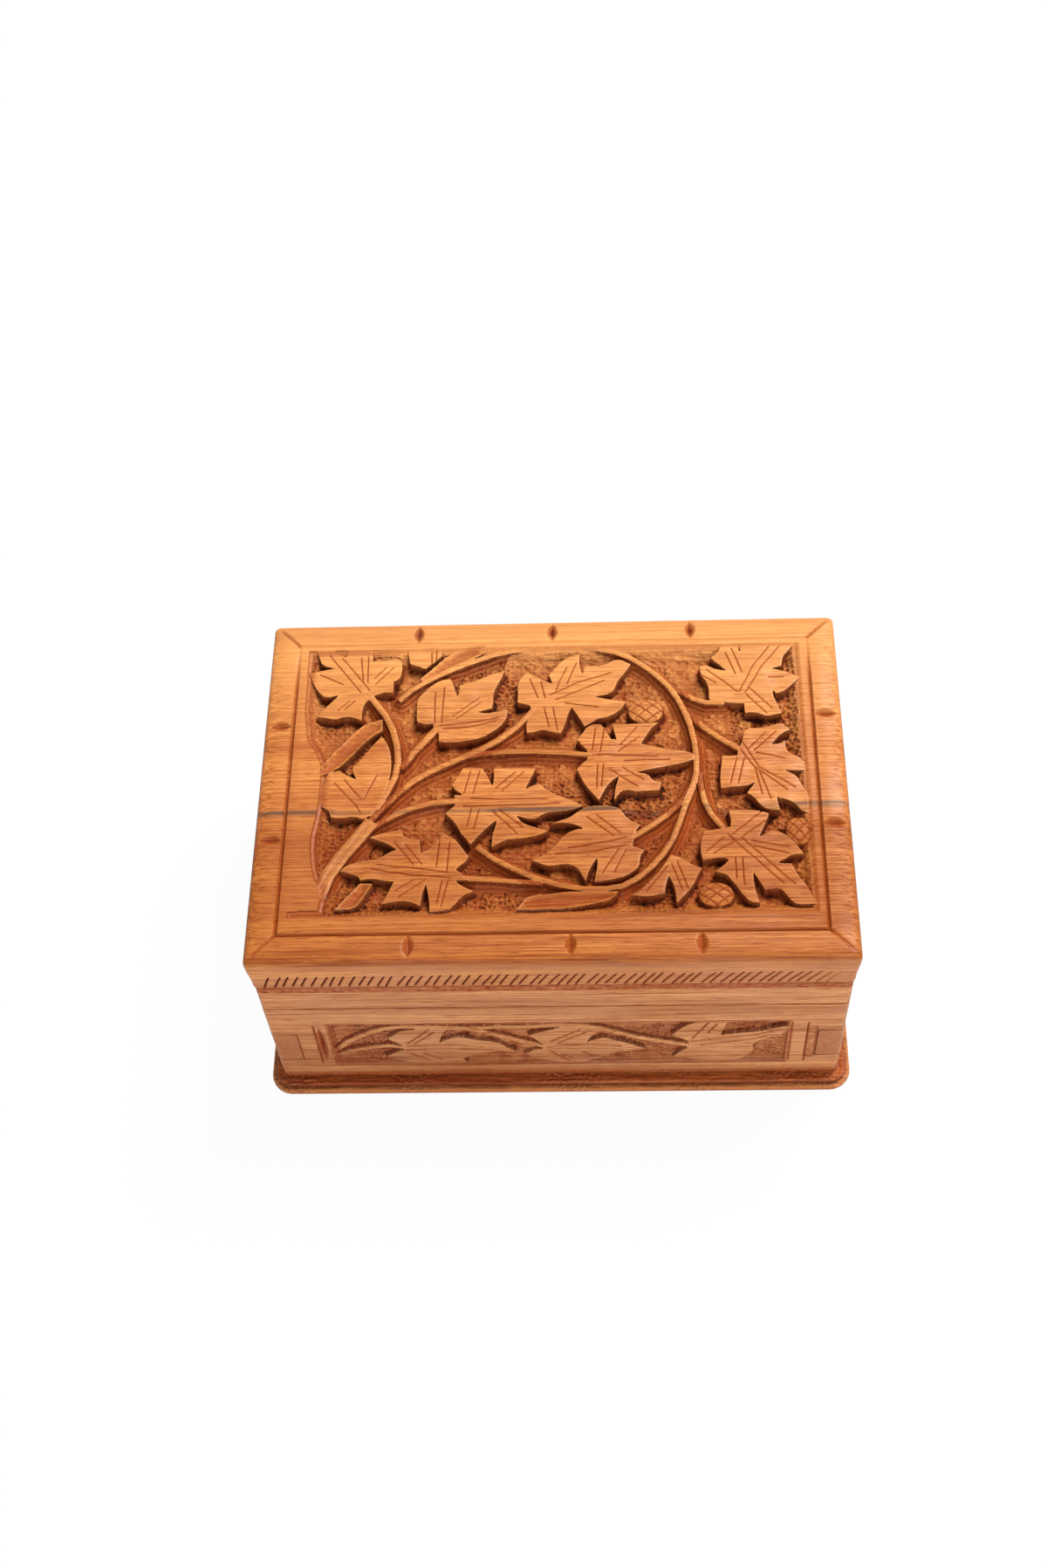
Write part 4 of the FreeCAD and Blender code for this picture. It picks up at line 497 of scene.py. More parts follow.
def carved(points, drawing, cell, free):
    """Heights of a carved surface over drawn points, with what the finish needs to know.

    Gives the points pulled to the drawing's lines, and for each its height below the uncut
    face, how much painted shade it gets in cuts, hollows and crevices, how much of the ground's punching
    it gets, and how much paler it is, partly from wear and partly as a painted highlight.
    """
    rims = [np.vstack([island, island[:1]]) for island in drawing["leaves"] + drawing["stems"]]
    points = pulled_to(points, rims, PULL_REACH * cell, free)
    on_rim = cut_gap(points, rims) < ON_LINE
    points = pulled_to(points, drawing["veins"], PULL_REACH * cell, free & ~on_rim)
    across, down = points.T
    lumps = 0.1 * wander(across, down, 7, 3)
    lumps = lumps + 0.06 * wander(across, down, 2.6, 13) + 0.04 * wander(across, down, 1.4, 14)
    field_gap = outline_gap(points, drawing["field"])[0]
    at_left = ease((LEFT_END - across) / LEFT_FADE)
    ground = sunk_ground(drawing, field_gap, at_left, lumps)

    marks = {mark: np.zeros(len(points)) for mark in ("raised", "hollow_shade", "crevice", "rubbed")}
    height = with_leaves(points, drawing, ground, marks)
    height = with_stems(points, drawing, height, marks)
    height = with_berries(points, drawing, height, marks)
    raised = marks["raised"]
    vein = np.clip(1 - cut_gap(points, drawing["veins"]) / drawing["vein_width"], 0, 1) * (raised > 0)
    height = height - drawing["vein_depth"] * vein

    depth = drawing["depth"]
    # painted shade: the sunk ground and the crevices beside raised parts are darkened as shade would
    # darken them
    sunk = ease((-height - 0.3 * depth) / (0.75 * depth)) * (field_gap < 0) * (1 - raised)
    crevice = marks["crevice"] * (raised < 1) * (field_gap < 0)
    margin = (1 - ease(-field_gap / MARGIN_WIDTH)) * (1 - at_left)
    patchy = (1 - 4 * lumps) * (1 - drawing["margin"] * margin)
    stain = (drawing["ground_shade"] * sunk + drawing["crevice_shade"] * crevice) * patchy
    from_edge = np.abs(field_gap + 0.5 + 0.5 * at_left)
    edge_line = ease(1 - from_edge / (1.1 + 0.8 * at_left)) * (field_gap < 0.3)
    # painted shade in the veins, on hollow flanks and along the field's edge
    stain = np.maximum.reduce([stain, vein, marks["hollow_shade"], (0.45 + 0.2 * at_left) * edge_line])
    on_ground = np.clip(1 - (height - ground) / 0.25, 0, 1) * (1 - raised)
    punched = ease((-field_gap - 0.8) / 0.8) * on_ground
    return points, height, stain, punched, marks["rubbed"]


def sunk_ground(drawing, field_gap, at_left, lumps):
    """The lumpy ground of a field: a small step down at the field's edge, then a slope."""
    depth = drawing["depth"]
    slope = ease(-field_gap / drawing["ramp"])
    step = 0.05 + 0.09 * at_left
    ground = -depth * (step + (1 - step) * slope) + depth * lumps * slope
    return np.where(field_gap < 0, ground, -0.04)


def with_leaves(points, drawing, height, marks):
    """Raises leaves and hollow bracts: paler at their rims, partly from wear and partly as a painted
    highlight, with painted shade in the hollows and in the crevices beside them.
    """
    for number, leaf in enumerate(drawing["leaves"]):
        gap = outline_gap(points, leaf)[0]
        on_leaf = gap < ON_LINE
        top = -0.22 + 0.13 * wander(*points.T, 9, 20 + number)
        rim = 0.05 * ease((gap + 0.35) / 0.35)
        hollow = ease(-gap / 1.6) * (number >= drawing["first_bract"])
        side = 1.3 * drawing["depth"] * np.clip(gap / drawing["wall"], 0, 1) ** 0.8
        height = np.maximum(height, top - rim - drawing["hollow"] * hollow - side)
        marks["raised"] = np.maximum(marks["raised"], on_leaf)
        # painted shade in the bracts' hollows
        marks["hollow_shade"] = np.maximum(marks["hollow_shade"], 0.6 * hollow)
        # paler rim, partly wear and partly a painted highlight
        marks["rubbed"] = np.maximum(marks["rubbed"], 0.2 * ease((gap + 0.6) / 0.6) * on_leaf)
        # painted shade in the crevice beside the leaf
        marks["crevice"] = np.maximum(marks["crevice"], ease(1 - gap / drawing["crevice"]))
    return height


def with_stems(points, drawing, height, marks):
    """Raises stems: a paler crest, partly worn and partly a painted highlight, and hollow flanks with the
    flutes that a gouge leaves, darkened with painted shade.
    """
    depth, flank = drawing["depth"], drawing["flank"]
    unsteady = 1.5 * wander(*points.T, 12, 4)
    for stem in drawing["stems"]:
        gap = outline_gap(points, stem)[0]
        gouge = 0.5 + 0.5 * np.sin(2 * math.pi * gap / FLUTE_PITCH + unsteady)
        on_stem, well_inside = gap < ON_LINE, gap < -1.0
        on_flank = (gap > 0.15) & (gap < flank)
        fall = np.clip(gap / flank, 0, 1)
        crest = -0.14 - 0.3 * ease((gap + 0.7) / 0.7) - 0.14 * gouge * well_inside
        ridge = crest - 1.05 * depth * fall ** drawing["cove"] - 0.025 * depth * gouge * on_flank
        above = ridge > height
        # painted shade on the flanks, deepest beside the crest and broken by the gouge's flutes
        flank_shade = (0.95 - 0.45 * fall) * (0.75 + 0.45 * gouge)
        marks["hollow_shade"] = np.where(above & on_flank, flank_shade, marks["hollow_shade"])
        marks["hollow_shade"] = np.where(above & well_inside, 0.25 * gouge, marks["hollow_shade"])
        marks["raised"] = np.maximum(marks["raised"], on_stem)
        # paler crest, partly wear and partly a painted highlight
        marks["rubbed"] = np.maximum(marks["rubbed"], drawing["rub"] * on_stem * (ridge >= height))
        height = np.maximum(height, ridge)
    return height


def with_berries(points, drawing, height, marks):
    """Raises berries as low domes with painted shade in the crevices round them."""
    depth = drawing["depth"]
    for middle, half_widths in drawing["berries"]:
        reach = np.hypot(*((points - middle) / half_widths).T)
        dome = -0.15 - 0.26 * depth * reach ** 2.5 - 1.2 * depth * np.clip((reach - 1) * 7, 0, 1)
        beside = (reach - 1) * min(half_widths)
        marks["raised"] = np.maximum(marks["raised"], reach < 1)
        marks["crevice"] = np.maximum(marks["crevice"], ease(1 - beside / drawing["crevice"]))
        height = np.maximum(height, dome)
    return height


def hatching():
    """Crossed cuts on the lid's berries."""
    lines = []
    for (x, y), (half_x, half_y) in LID_BERRIES:
        for offset in (-0.55, 0.0, 0.55):
            for lean in (-1, 1):
                middle = np.array([x + offset * half_x * 0.8, y - lean * offset * half_y * 0.8])
                run = 0.62 * np.array([half_x, lean * half_y])
                lines.append((middle - run, middle + run))
    return lines


def lid_drawing():
    """The lid's carving: its outlines, its depths and widths, and its shares of painted shade, and of
    wear with painted highlight.
    """
    return {
        "leaves": [rounded(leaf) for leaf in LID_LEAVES],
        "stems": [band(0.85 * width, middle) for width, middle in LID_STEMS],
        "berries": [(np.array(middle), np.array(half)) for middle, half in LID_BERRIES],
        "veins": list(LID_VEINS) + hatching(),
        "field": rounded(LID_FIELD),
        "depth": GROUND_DEPTH, "ramp": 5.0, "flank": 3.5, "cove": 0.5, "wall": 0.5,
        "vein_width": 0.26, "vein_depth": 0.28, "first_bract": LID_FIRST_BRACT, "hollow": 0.9,
        # shares of painted shade in the ground and crevices, and of paler crests
        "ground_shade": 0.36, "crevice": 1.7, "crevice_shade": 0.62, "margin": 0.5, "rub": 0.16,
    }


def frieze_drawing(side):
    """The same for the carving on one side of the box."""
    long_side = side in LONG_SIDES
    shift = np.array([0.0 if long_side else SIDE_FRIEZE_SHIFT, 0.0])
    leaves = FRIEZE_LEAVES if long_side else FRIEZE_LEAVES[:2]
    veins = FRIEZE_VEINS if long_side else FRIEZE_VEINS[:SIDE_VEINS]
    return {
        "leaves": [rounded(leaf) + shift for leaf in leaves],
        "stems": [band(*stem) + shift for stem in FRIEZE_STEMS],
        "berries": [],
        "veins": [np.array(vein) + shift for vein in veins],
        "field": FRIEZE_FIELD if long_side else SIDE_FRIEZE_FIELD,
        "depth": FRIEZE_DEPTH, "ramp": 1.2, "flank": 0.8, "cove": 0.7, "wall": 0.36,
        "vein_width": 0.42, "vein_depth": 0.45, "first_bract": len(leaves), "hollow": 0.0,
        # shares of painted shade in the ground and crevices, and of paler crests
        "ground_shade": 0.32, "crevice": 1.1, "crevice_shade": 0.3, "margin": 0.0, "rub": 0.15,
    }


# Meshes

def grid_faces(columns, rows, ring_columns=False, ring_rows=False):
    """Four-sided faces between neighbouring points of a grid, closed round where asked."""
    first, second = np.meshgrid(
        np.arange(columns if ring_columns else columns - 1),
        np.arange(rows if ring_rows else rows - 1), indexing="ij")
    next_first, next_second = (first + 1) % columns, (second + 1) % rows
    corners = [first * rows + second, next_first * rows + second,
               next_first * rows + next_second, first * rows + next_second]
    return np.stack(corners, -1).reshape(-1, 4)


def shell(points, quads, caps, cell, **marks):
    """A closed surface with values for each of its points that the finish reads."""
    full = {}
    for mark, plain in UNCUT.items():
        values = marks.get(mark, np.empty(0)).ravel()
        full[mark] = np.concatenate([values, np.full(len(points) - len(values), plain)])
    slope = np.nan_to_num(np.ptp(full.pop("carved")[quads], axis=1)) / cell
    # steep: how much painted shade the steep carved walls get
    return {"points": points, "quads": quads, "caps": caps, "steep": ease((slope - 1.2) / 2), **full}


def piece(name, shells, material, body, node):
    """Makes one visible piece from closed shells and puts it on its body."""
    starts = np.cumsum([0] + [len(part["points"]) for part in shells])
    quads, caps = [], []
    for start, part in zip(starts, shells):
        quads.append(part["quads"] + start)
        caps += [[corner + start for corner in cap] for cap in part["caps"]]
    steep = np.concatenate([part["steep"] for part in shells] + [np.zeros(len(caps))])
    mesh = bpy.data.meshes.new(name)
    points = np.vstack([part["points"] for part in shells])
    mesh.from_pydata((points / 1000).tolist(), [], np.vstack(quads).tolist() + caps)
    # painted shade with dark joints, punching, and wear with painted highlight, kept on the points
    for mark in ("stain", "punched", "rubbed"):
        values = np.concatenate([part[mark] for part in shells]).astype(np.float32)
        mesh.attributes.new(mark, "FLOAT", "POINT").data.foreach_set("value", values)
    mesh.attributes.new("steep", "FLOAT", "FACE").data.foreach_set("value", steep.astype(np.float32))
    mesh.polygons.foreach_set("use_smooth", np.ones(len(mesh.polygons), bool))
    mesh.set_sharp_from_angle(angle=math.radians(SHARP_ANGLE))
    mesh.materials.append(material)
    shown = bpy.data.objects.new(name, mesh)
    bpy.context.scene.collection.objects.link(shown)
    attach(shown, body)
    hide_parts(node)
    return shown


def carved_panels():
    """The top board inside the cut line, carved, down to the board's underside, in four tiles."""
    half_x, half_y = HALF_LENGTH - QUIRK_INSET, HALF_DEPTH - QUIRK_INSET
    xs = np.linspace(-half_x, half_x, 2 * int(half_x / CELL) + 1)
    ys = np.linspace(-half_y, half_y, 2 * int(half_y / CELL) + 1)
    x, y = np.meshgrid(xs, ys, indexing="ij")
    edge = np.minimum(half_x - np.abs(x), half_y - np.abs(y)).ravel()
    drawn = np.stack([x.ravel() + HALF_LENGTH, HALF_DEPTH - y.ravel()], -1)
    drawn, height, stain, punched, rubbed = carved(drawn, lid_drawing(), CELL, edge > ON_LINE)
    quirk = quirk_depth(drawn) * np.clip(1 - edge / QUIRK_WIDTH, 0, 1)
    height = height - quirk - PANEL_DROP
    # painted shade in the cut line round the field and in a band beside it
    stain = np.maximum.reduce([stain, 0.8 * quirk, 0.28 * quirk_depth(drawn) * ease(1 - edge / 3.5)])
    top = np.stack([drawn[:, 0] - HALF_LENGTH, HALF_DEPTH - drawn[:, 1], LID_TOP + height], -1)
    grid = np.arange(len(top)).reshape(len(xs), len(ys))
    middle_x, middle_y = len(xs) // 2, len(ys) // 2
    tiles = []
    for columns in (slice(0, middle_x + 1), slice(middle_x, len(xs))):
        for rows in (slice(0, middle_y + 1), slice(middle_y, len(ys))):
            tile = grid[columns, rows]
            chosen = tile.ravel()
            marks = {"stain": stain[chosen], "punched": punched[chosen], "rubbed": rubbed[chosen]}
            marks["carved"] = height[chosen]
            tiles.append(tile_shell(top[chosen], tile.shape, marks))
    return tiles


def tile_shell(top, size, marks):
    """Closes a carved tile with upright sides and a flat underside."""
    index = np.arange(len(top)).reshape(size)
    rim = np.concatenate([index[:-1, 0], index[-1, :-1], index[:0:-1, -1], index[0, :0:-1]])
    foot = top[rim].copy()
    foot[:, 2] = RAIL_TOP
    under = np.arange(len(rim)) + len(top)
    sides = np.stack([under, np.roll(under, -1), np.roll(rim, -1), rim], -1)
    quads = np.vstack([grid_faces(*size), sides])
    return shell(np.vstack([top, foot]), quads, [under[::-1].tolist()], CELL, **marks)


def quirk_depth(drawn):
    """Depth of the cut line round the field, which is faint along the back."""
    return 0.2 + 0.6 * ease((drawn[:, 1] - 8) / 14)


# The lid's border and edges

def side_halves(side):
    """Half the length of a side and how far its face is from the middle of the box."""
    return (HALF_LENGTH, HALF_DEPTH) if side in LONG_SIDES else (HALF_DEPTH, HALF_LENGTH)


def turned(plan, side):
    """Turns plan points from the front to their own side."""
    angle = math.radians(TURN[side])
    return plan @ np.array([[math.cos(angle), math.sin(angle)], [-math.sin(angle), math.cos(angle)]])


def corner_radius(inset):
    """The lid's upright corners are rounder at its edge than at the field."""
    return CORNER_RADIUS * (1 - inset / (BORDER_WIDTH + 0.6))


def straight_end(half_run, inset):
    """Where a side's straight run ends on a ring at some distance in from the lid's edge."""
    return half_run + TOP_OVERHANG - inset - corner_radius(inset)


def ring_outline(inset):
    """Plan points round the lid at some distance in from its edge: each side, then its right corner."""
    radius = corner_radius(inset)
    spots = []
    for side in TURN:
        half_run, reach = side_halves(side)
        count = int(2 * half_run / RING_CELL)
        face = inset - reach - TOP_OVERHANG
        end = straight_end(half_run, inset)
        straight = np.column_stack([np.linspace(-end, end, count), np.full(count, face)])
        turns = np.radians(CORNER_TURNS)
        arc = np.column_stack([np.cos(turns), np.sin(turns)]) * radius + (end, face + radius)
        spots.append(turned(np.vstack([straight, arc]), side))
    return np.vstack(spots)


def ring_sides():
    """For each side, which of the ring's points lie on its straight run."""
    spans, start = {}, 0
    for side in TURN:
        count = int(2 * side_halves(side)[0] / RING_CELL)
        spans[side] = slice(start, start + count)
        start += count + len(CORNER_TURNS)
    return spans


def pushed_in(plan, amounts):
    """Moves the straight runs of a ring inwards, square to their sides."""
    moved = plan.copy()
    for side, span in ring_sides().items():
        moved[span] += turned(np.array([[0.0, 1.0]]), side) * amounts[span, None]
    return moved


def nick_lines(length):
    """Slanted cuts under the lid's edge, steeper at the left end and longer at the right."""
    random = np.random.default_rng(8)
    lines = []
    for start in np.arange(3.0, length - 6.0, NICK_PITCH):
        share = start / length
        shift, low, high = random.uniform(-0.3, 0.3, 3)
        lean = 1.9 + 1.3 * share + shift
        foot = (start + shift, NICK_FOOT + low)
        head = (start + shift + lean, NICK_HEAD - 0.6 * share + high)
        lines.append((foot, head))
    return lines


def chip_lines():
    """Middle lines of the lens-shaped cuts across the border."""
    low, high = CHIP_PLACE - CHIP_HALF_LENGTH, CHIP_PLACE + CHIP_HALF_LENGTH
    lines = [((place, low), (place, high)) for place in BACK_CHIPS]
    lines += [((place, 2 * HALF_DEPTH - high), (place, 2 * HALF_DEPTH - low)) for place in FRONT_CHIPS]
    lines += [((low, place), (high, place)) for place in LEFT_CHIPS]
    lines += [((2 * HALF_LENGTH - high, place), (2 * HALF_LENGTH - low, place)) for place in RIGHT_CHIPS]
    return lines


def chip_share(drawn):
    """How deep each point lies in a lens-shaped cut, from 0 to 1."""
    total = np.zeros(len(drawn))
    for (x0, y0), (x1, y1) in chip_lines():
        offset = drawn - ((x0 + x1) / 2, (y0 + y1) / 2)
        along, across = (offset[:, 1], offset[:, 0]) if x0 == x1 else (offset[:, 0], offset[:, 1])
        total = np.maximum(total, lens_cut(along, across, CHIP_HALF_LENGTH, CHIP_HALF_WIDTH))
    return total


def border_lengths():
    """The top board's border and edges, as four lengths that meet on the mitres."""
    count = len(ring_outline(0))
    rows, shades_and_stains = [], []

    def add_row(plan, z, stain):
        rows.append(np.column_stack([plan, np.broadcast_to(z, count)]))
        shades_and_stains.append(np.broadcast_to(stain, count))

    place = np.arange(count) * RING_CELL
    add_row(ring_outline(BORDER_WIDTH), RAIL_TOP, 0.0)
    for share in np.linspace(0, 1, GROOVE_ROWS):
        rough = 0.08 * wander(place, 20 * share, 1.8, 5) + 0.06 * wander(place, 6 * share, 6, 6)
        inset = 0.05 + (TOP_OVERHANG + 0.05) * (1 - share) + (GROOVE_INSET + EDGE_LEAN) * share
        plan = pushed_in(ring_outline(inset), rough)
        z = RAIL_TOP + (REBATE_TOP - 0.2 - RAIL_TOP) * share
        # painted shade in the groove, darkest under the lip above and at the rail's edge below
        painted_groove_shade = 0.6 * ease(share * 5 - 4) + 0.3 * ease(1 - share * 6)
        add_row(plan, z, np.clip(0.6 + 4 * rough + painted_groove_shade, 0.05, 1.3))
    lip = REBATE_TOP + 0.2 * wander(place, 0, 8, 7)
    # a line of painted shadow under the lip
    add_row(ring_outline(GROOVE_INSET + EDGE_LEAN), lip - 0.06, 1.3)
    add_row(ring_outline(0.05 + EDGE_LEAN), lip + 0.05, 0.4)
    for plan, z, stain in nicked_rows():
        add_row(plan, z, stain)
    for inset, drop in BORDER_SECTION:
        add_row(*border_row(inset, drop))
    columns, stain = np.stack(rows, axis=1), np.stack(shades_and_stains, axis=1)
    lengths = {}
    for side, span in ring_sides().items():
        chosen = np.arange(span.start - 2, span.stop + 3) % count  # from mid corner to mid corner
        run, height = len(chosen), len(rows)
        quads = grid_faces(run, height, False, True)
        caps = [list(range(height)), list(range(run * height - 1, (run - 1) * height - 1, -1))]
        lengths[side] = shell(columns[chosen].reshape(-1, 3), quads, caps, RING_CELL, stain=stain[chosen])
    return lengths


def nicked_rows():
    """Rows up the lid's edge with the slanted nicks cut into it: plan, height and painted shade of each.
    """
    nicked = np.linspace(REBATE_TOP + 0.45, NICKED_TOP, NICK_ROWS)
    heights = np.concatenate([nicked, np.linspace(NICKED_TOP + 0.6, EDGE_TOP, 5)])
    leans = EDGE_LEAN * ease((EDGE_TOP - heights) / LEAN_HEIGHT)
    plan = np.stack([ring_outline(lean) for lean in leans])
    z = np.tile(heights[:, None], (1, plan.shape[1]))
    stain = np.zeros(z.shape)
    for side, span in ring_sides().items():
        half_run, reach = side_halves(side)
        lines = nick_lines(2 * half_run)
        count = span.stop - span.start
        along = half_run + np.outer(straight_end(half_run, leans), np.linspace(-1, 1, count))
        drawn = np.column_stack([along.ravel(), np.repeat(EDGE_PLANE - heights, count)])
        free = (drawn[:, 0] > 2) & (drawn[:, 0] < 2 * half_run - 2)
        drawn = pulled_to(drawn, lines, PULL_REACH * RING_CELL, free)
        nick = np.clip(1 - cut_gap(drawn, lines) / NICK_WIDTH, 0, 1)
        nick = nick * ease((2 * half_run - drawn[:, 0]) / 16)  # fainter towards the right end
        inward = NICK_DEPTH * nick + 0.03 + 0.03 * wander(drawn[:, 0], drawn[:, 1], 11, 9)
        inward = inward + EDGE_LEAN * ease((EDGE_TOP - EDGE_PLANE + drawn[:, 1]) / LEAN_HEIGHT)
        spots = turned(np.column_stack([drawn[:, 0] - half_run, inward - reach - TOP_OVERHANG]), side)
        plan[:, span] = spots.reshape(len(heights), -1, 2)
        z[:, span] = (EDGE_PLANE - drawn[:, 1]).reshape(len(heights), -1)
        # painted shade in the nicks
        stain[:, span] = 2.0 * nick.reshape(len(heights), -1)
    return list(zip(plan, z, stain))


def border_row(inset, drop):
    """One row along the border's top with its chips, mitre cuts and the quirk's outer side."""
    plan = ring_outline(inset)
    drawn = np.column_stack([plan[:, 0] + HALF_LENGTH, HALF_DEPTH - plan[:, 1]])
    on_chips = np.full(len(drawn), 1 < inset < QUIRK_START)
    drawn = pulled_to(drawn, chip_lines(), PULL_REACH * RING_CELL, on_chips)
    plan = np.column_stack([drawn[:, 0] - HALF_LENGTH, HALF_DEPTH - drawn[:, 1]])
    chip = chip_share(drawn)
    from_end, from_face = HALF_LENGTH - np.abs(plan[:, 0]), HALF_DEPTH - np.abs(plan[:, 1])
    off_mitre = np.abs(from_end - from_face) / math.sqrt(2)
    mitre = np.clip(1 - off_mitre / MITRE_WIDTH, 0, 1) * ease((inset - 0.8) / 2)
    quirk = quirk_depth(drawn) * np.clip(1 - (BORDER_WIDTH - inset) / QUIRK_WIDTH, 0, 1)
    planed = (0.04 + 0.04 * wander(drawn[:, 0], drawn[:, 1], 12, 11)) * (inset < QUIRK_START)
    cuts = CHIP_DEPTH * chip + MITRE_DEPTH * mitre * (inset < MITRE_END) + quirk + planed
    z = LID_TOP - drop - cuts
    # painted shade in the chips, darker towards the back, and in the quirk; the mitre lines are dark
    # joints
    at_back = ease((6 - drawn[:, 1]) / 3)
    return plan, z, np.maximum.reduce([(0.8 + 0.4 * at_back) * chip ** 0.6, 0.75 * mitre, quirk])


# Boards of the walls, rails and strips

def board_path(half_run, reach, wrap):
    """Plan points along a board's outer face at the front, with the way each faces.

    A board with some wrap turns its corners and shows that much of its end grain.
    """
    end = half_run - (CORNER_RADIUS if wrap else 0.0)
    count = int(2 * end / SIDE_CELL) + 1
    place = np.column_stack([np.linspace(-end, end, count), np.full(count, -reach)])
    way = np.tile([0.0, -1.0], (count, 1))
    if not wrap:
        return place, way, np.ones(count, bool)
    turns = np.radians(CORNER_TURNS + (0,))
    corner_way = np.column_stack([np.cos(turns), np.sin(turns)])
    corner = corner_way * CORNER_RADIUS + (end, CORNER_RADIUS - reach)
    ends = np.linspace(CORNER_RADIUS - reach, wrap - reach, 8)[1:]
    corner = np.vstack([corner, np.column_stack([np.full(len(ends), half_run), ends])])
    corner_way = np.vstack([corner_way, np.tile([1.0, 0.0], (len(ends), 1))])
    mirror = np.array([-1.0, 1.0])
    straight = np.concatenate([np.zeros(len(corner)), np.ones(count), np.zeros(len(corner))]) > 0
    return (np.vstack([corner[::-1] * mirror, place, corner]),
            np.vstack([corner_way[::-1] * mirror, way, corner_way]), straight)


def drawn_height(z):
    """The frieze drawing's downward place of a height on the box."""
    return FRIEZE_DATUM - (z - BASE_TOP) / FRIEZE_STRETCH


def built_height(down):
    """The height on the box of a downward place in the frieze's drawing."""
    return BASE_TOP + (FRIEZE_DATUM - down) * FRIEZE_STRETCH


def inner_depths(plan_x, thickness, lap):
    """How far in a board's back face is: a lapped board is thinner over the ends of its neighbours."""
    if not lap:
        return np.full(len(plan_x), thickness)
    return np.where(np.abs(plan_x) < HALF_LENGTH - WALL_THICKNESS, thickness, lap)


def board_shell(side, rows, half_run, wrap, thickness, lap, surface, hinge_edge=0):
    """A closed shell for one band of a board, from its lowest to its highest row.

    Surface gives the outer face. Hinge edge is 1 where the band's upper edge carries the hinges
    and the stop's bevel, and -1 where its lower edge does.
    """
    side_half, reach = side_halves(side)
    place, way, straight = board_path(half_run, reach, wrap)
    count, height = len(place), len(rows)
    along = np.repeat(place[:, 0] + side_half, height)
    drawn = np.column_stack([along, drawn_height(np.tile(rows, count))])
    flat = np.repeat(straight, height)
    inner_row = np.tile((rows > rows[0]) & (rows < rows[-1]), count)
    drawn, depth, marks = surface(drawn, flat & inner_row)
    z = built_height(drawn[:, 1])
    plan, facing = np.repeat(place, height, axis=0), np.repeat(way, height, axis=0)
    plan[flat, 0] = drawn[flat, 0] - side_half
    if hinge_edge:
        depth, z = bevelled(plan, depth, z, flat, hinge_edge)
    plan = plan - facing * depth[:, None]
    outer = np.column_stack([plan, z]).reshape(count, height, 3)
    inner = inner_depths(place[:, 0], thickness, lap)
    inner_x = np.clip(place[:, 0], 0.1 - half_run, half_run - 0.1)
    backs = [(inner, rows[-1]), (inner, rows[0])]
    if hinge_edge > 0:
        backs = hinge_gain(place[:, 0], inner, -1) + backs
    if hinge_edge < 0:
        backs = backs + hinge_gain(place[:, 0], inner, 1)[::-1]
    loops = [outer]
    for back_depth, back_z in backs:
        back = np.column_stack([inner_x, back_depth - reach, np.broadcast_to(back_z, count)])
        loops.append(back[:, None, :])
    columns = np.concatenate(loops, axis=1)
    columns[:, :, :2] = turned(columns[:, :, :2].reshape(-1, 2), side).reshape(count, -1, 2)
    length = columns.shape[1]
    caps = [list(range(length)), list(range(count * length - 1, (count - 1) * length - 1, -1))]
    padded = {}
    for name, values in marks.items():
        extra = np.full((count, length - height), UNCUT[name])
        padded[name] = np.concatenate([values.reshape(count, height), extra], axis=1)
    quads = grid_faces(count, length, False, True)
    return shell(columns.reshape(-1, 3), quads, caps, SIDE_CELL, **padded)


def at_hinge(x, room=0.0):
    """Whether places along the back lie at a hinge, or within some room of its ends."""
    return np.any([np.abs(x - middle) < HINGE_LENGTH / 2 + room for middle in HINGE_MIDDLES], axis=0)


def bevelled(plan, depth, z, flat, hinge_edge):
    """Slopes the edge behind the hinge axis, as the lid's stop, and hollows it round the barrels."""
    slope = math.tan(math.radians(BEVEL_ANGLE))
    axis_depth = HALF_DEPTH - AXIS_Y
    rise = (AXIS_Z - z) * hinge_edge  # away from the axis
    bevel = axis_depth - rise / slope
    depth = np.where(flat, np.maximum(depth, bevel), depth)
    backward = np.clip(-plan[:, 1] - AXIS_Y, 0, None)
    limit = AXIS_Z - hinge_edge * backward * slope
    z = np.where(flat, z, hinge_edge * np.minimum(hinge_edge * z, hinge_edge * limit))
    reach = np.hypot(axis_depth - depth, rise)
    hollow = flat & at_hinge(plan[:, 0], HINGE_ROOM) & (reach < BARREL_ROOM)
    turn = np.radians(BEVEL_ANGLE + (90 - BEVEL_ANGLE) * (1 - reach / BARREL_ROOM))
    depth = np.where(hollow, axis_depth - BARREL_ROOM * np.cos(turn), depth)
    z = np.where(hollow, AXIS_Z - hinge_edge * BARREL_ROOM * np.sin(turn), z)
    return depth, z


def hinge_gain(x, inner, direction):
    """Places across a hinged edge from the axis inwards: sunk for the leaves, flush elsewhere."""
    face = RAIL_BOTTOM if direction > 0 else SEAM
    axis_depth, leaf_depth = HALF_DEPTH - AXIS_Y, HALF_DEPTH - LEAF_EDGE_Y
    floor = face + direction * LEAF_THICKNESS
    last_turn = math.pi - math.asin(abs(floor - AXIS_Z) / BARREL_ROOM)
    hinged = at_hinge(x, HINGE_ROOM)
    places = []
    for share in np.linspace(0.05, 1, 5):
        turn = math.pi / 2 + (last_turn - math.pi / 2) * share
        depth = np.where(hinged, axis_depth - BARREL_ROOM * math.cos(turn), axis_depth + 2 * share)
        level = np.where(hinged, AXIS_Z + direction * BARREL_ROOM * math.sin(turn), face)
        places.append((np.minimum(depth, inner), level))
    sunk = np.where(at_hinge(x), floor, face)
    places.append((np.minimum(leaf_depth - 0.02, inner), sunk))
    places.append((np.minimum(leaf_depth, inner), np.full(len(x), face)))
    return places


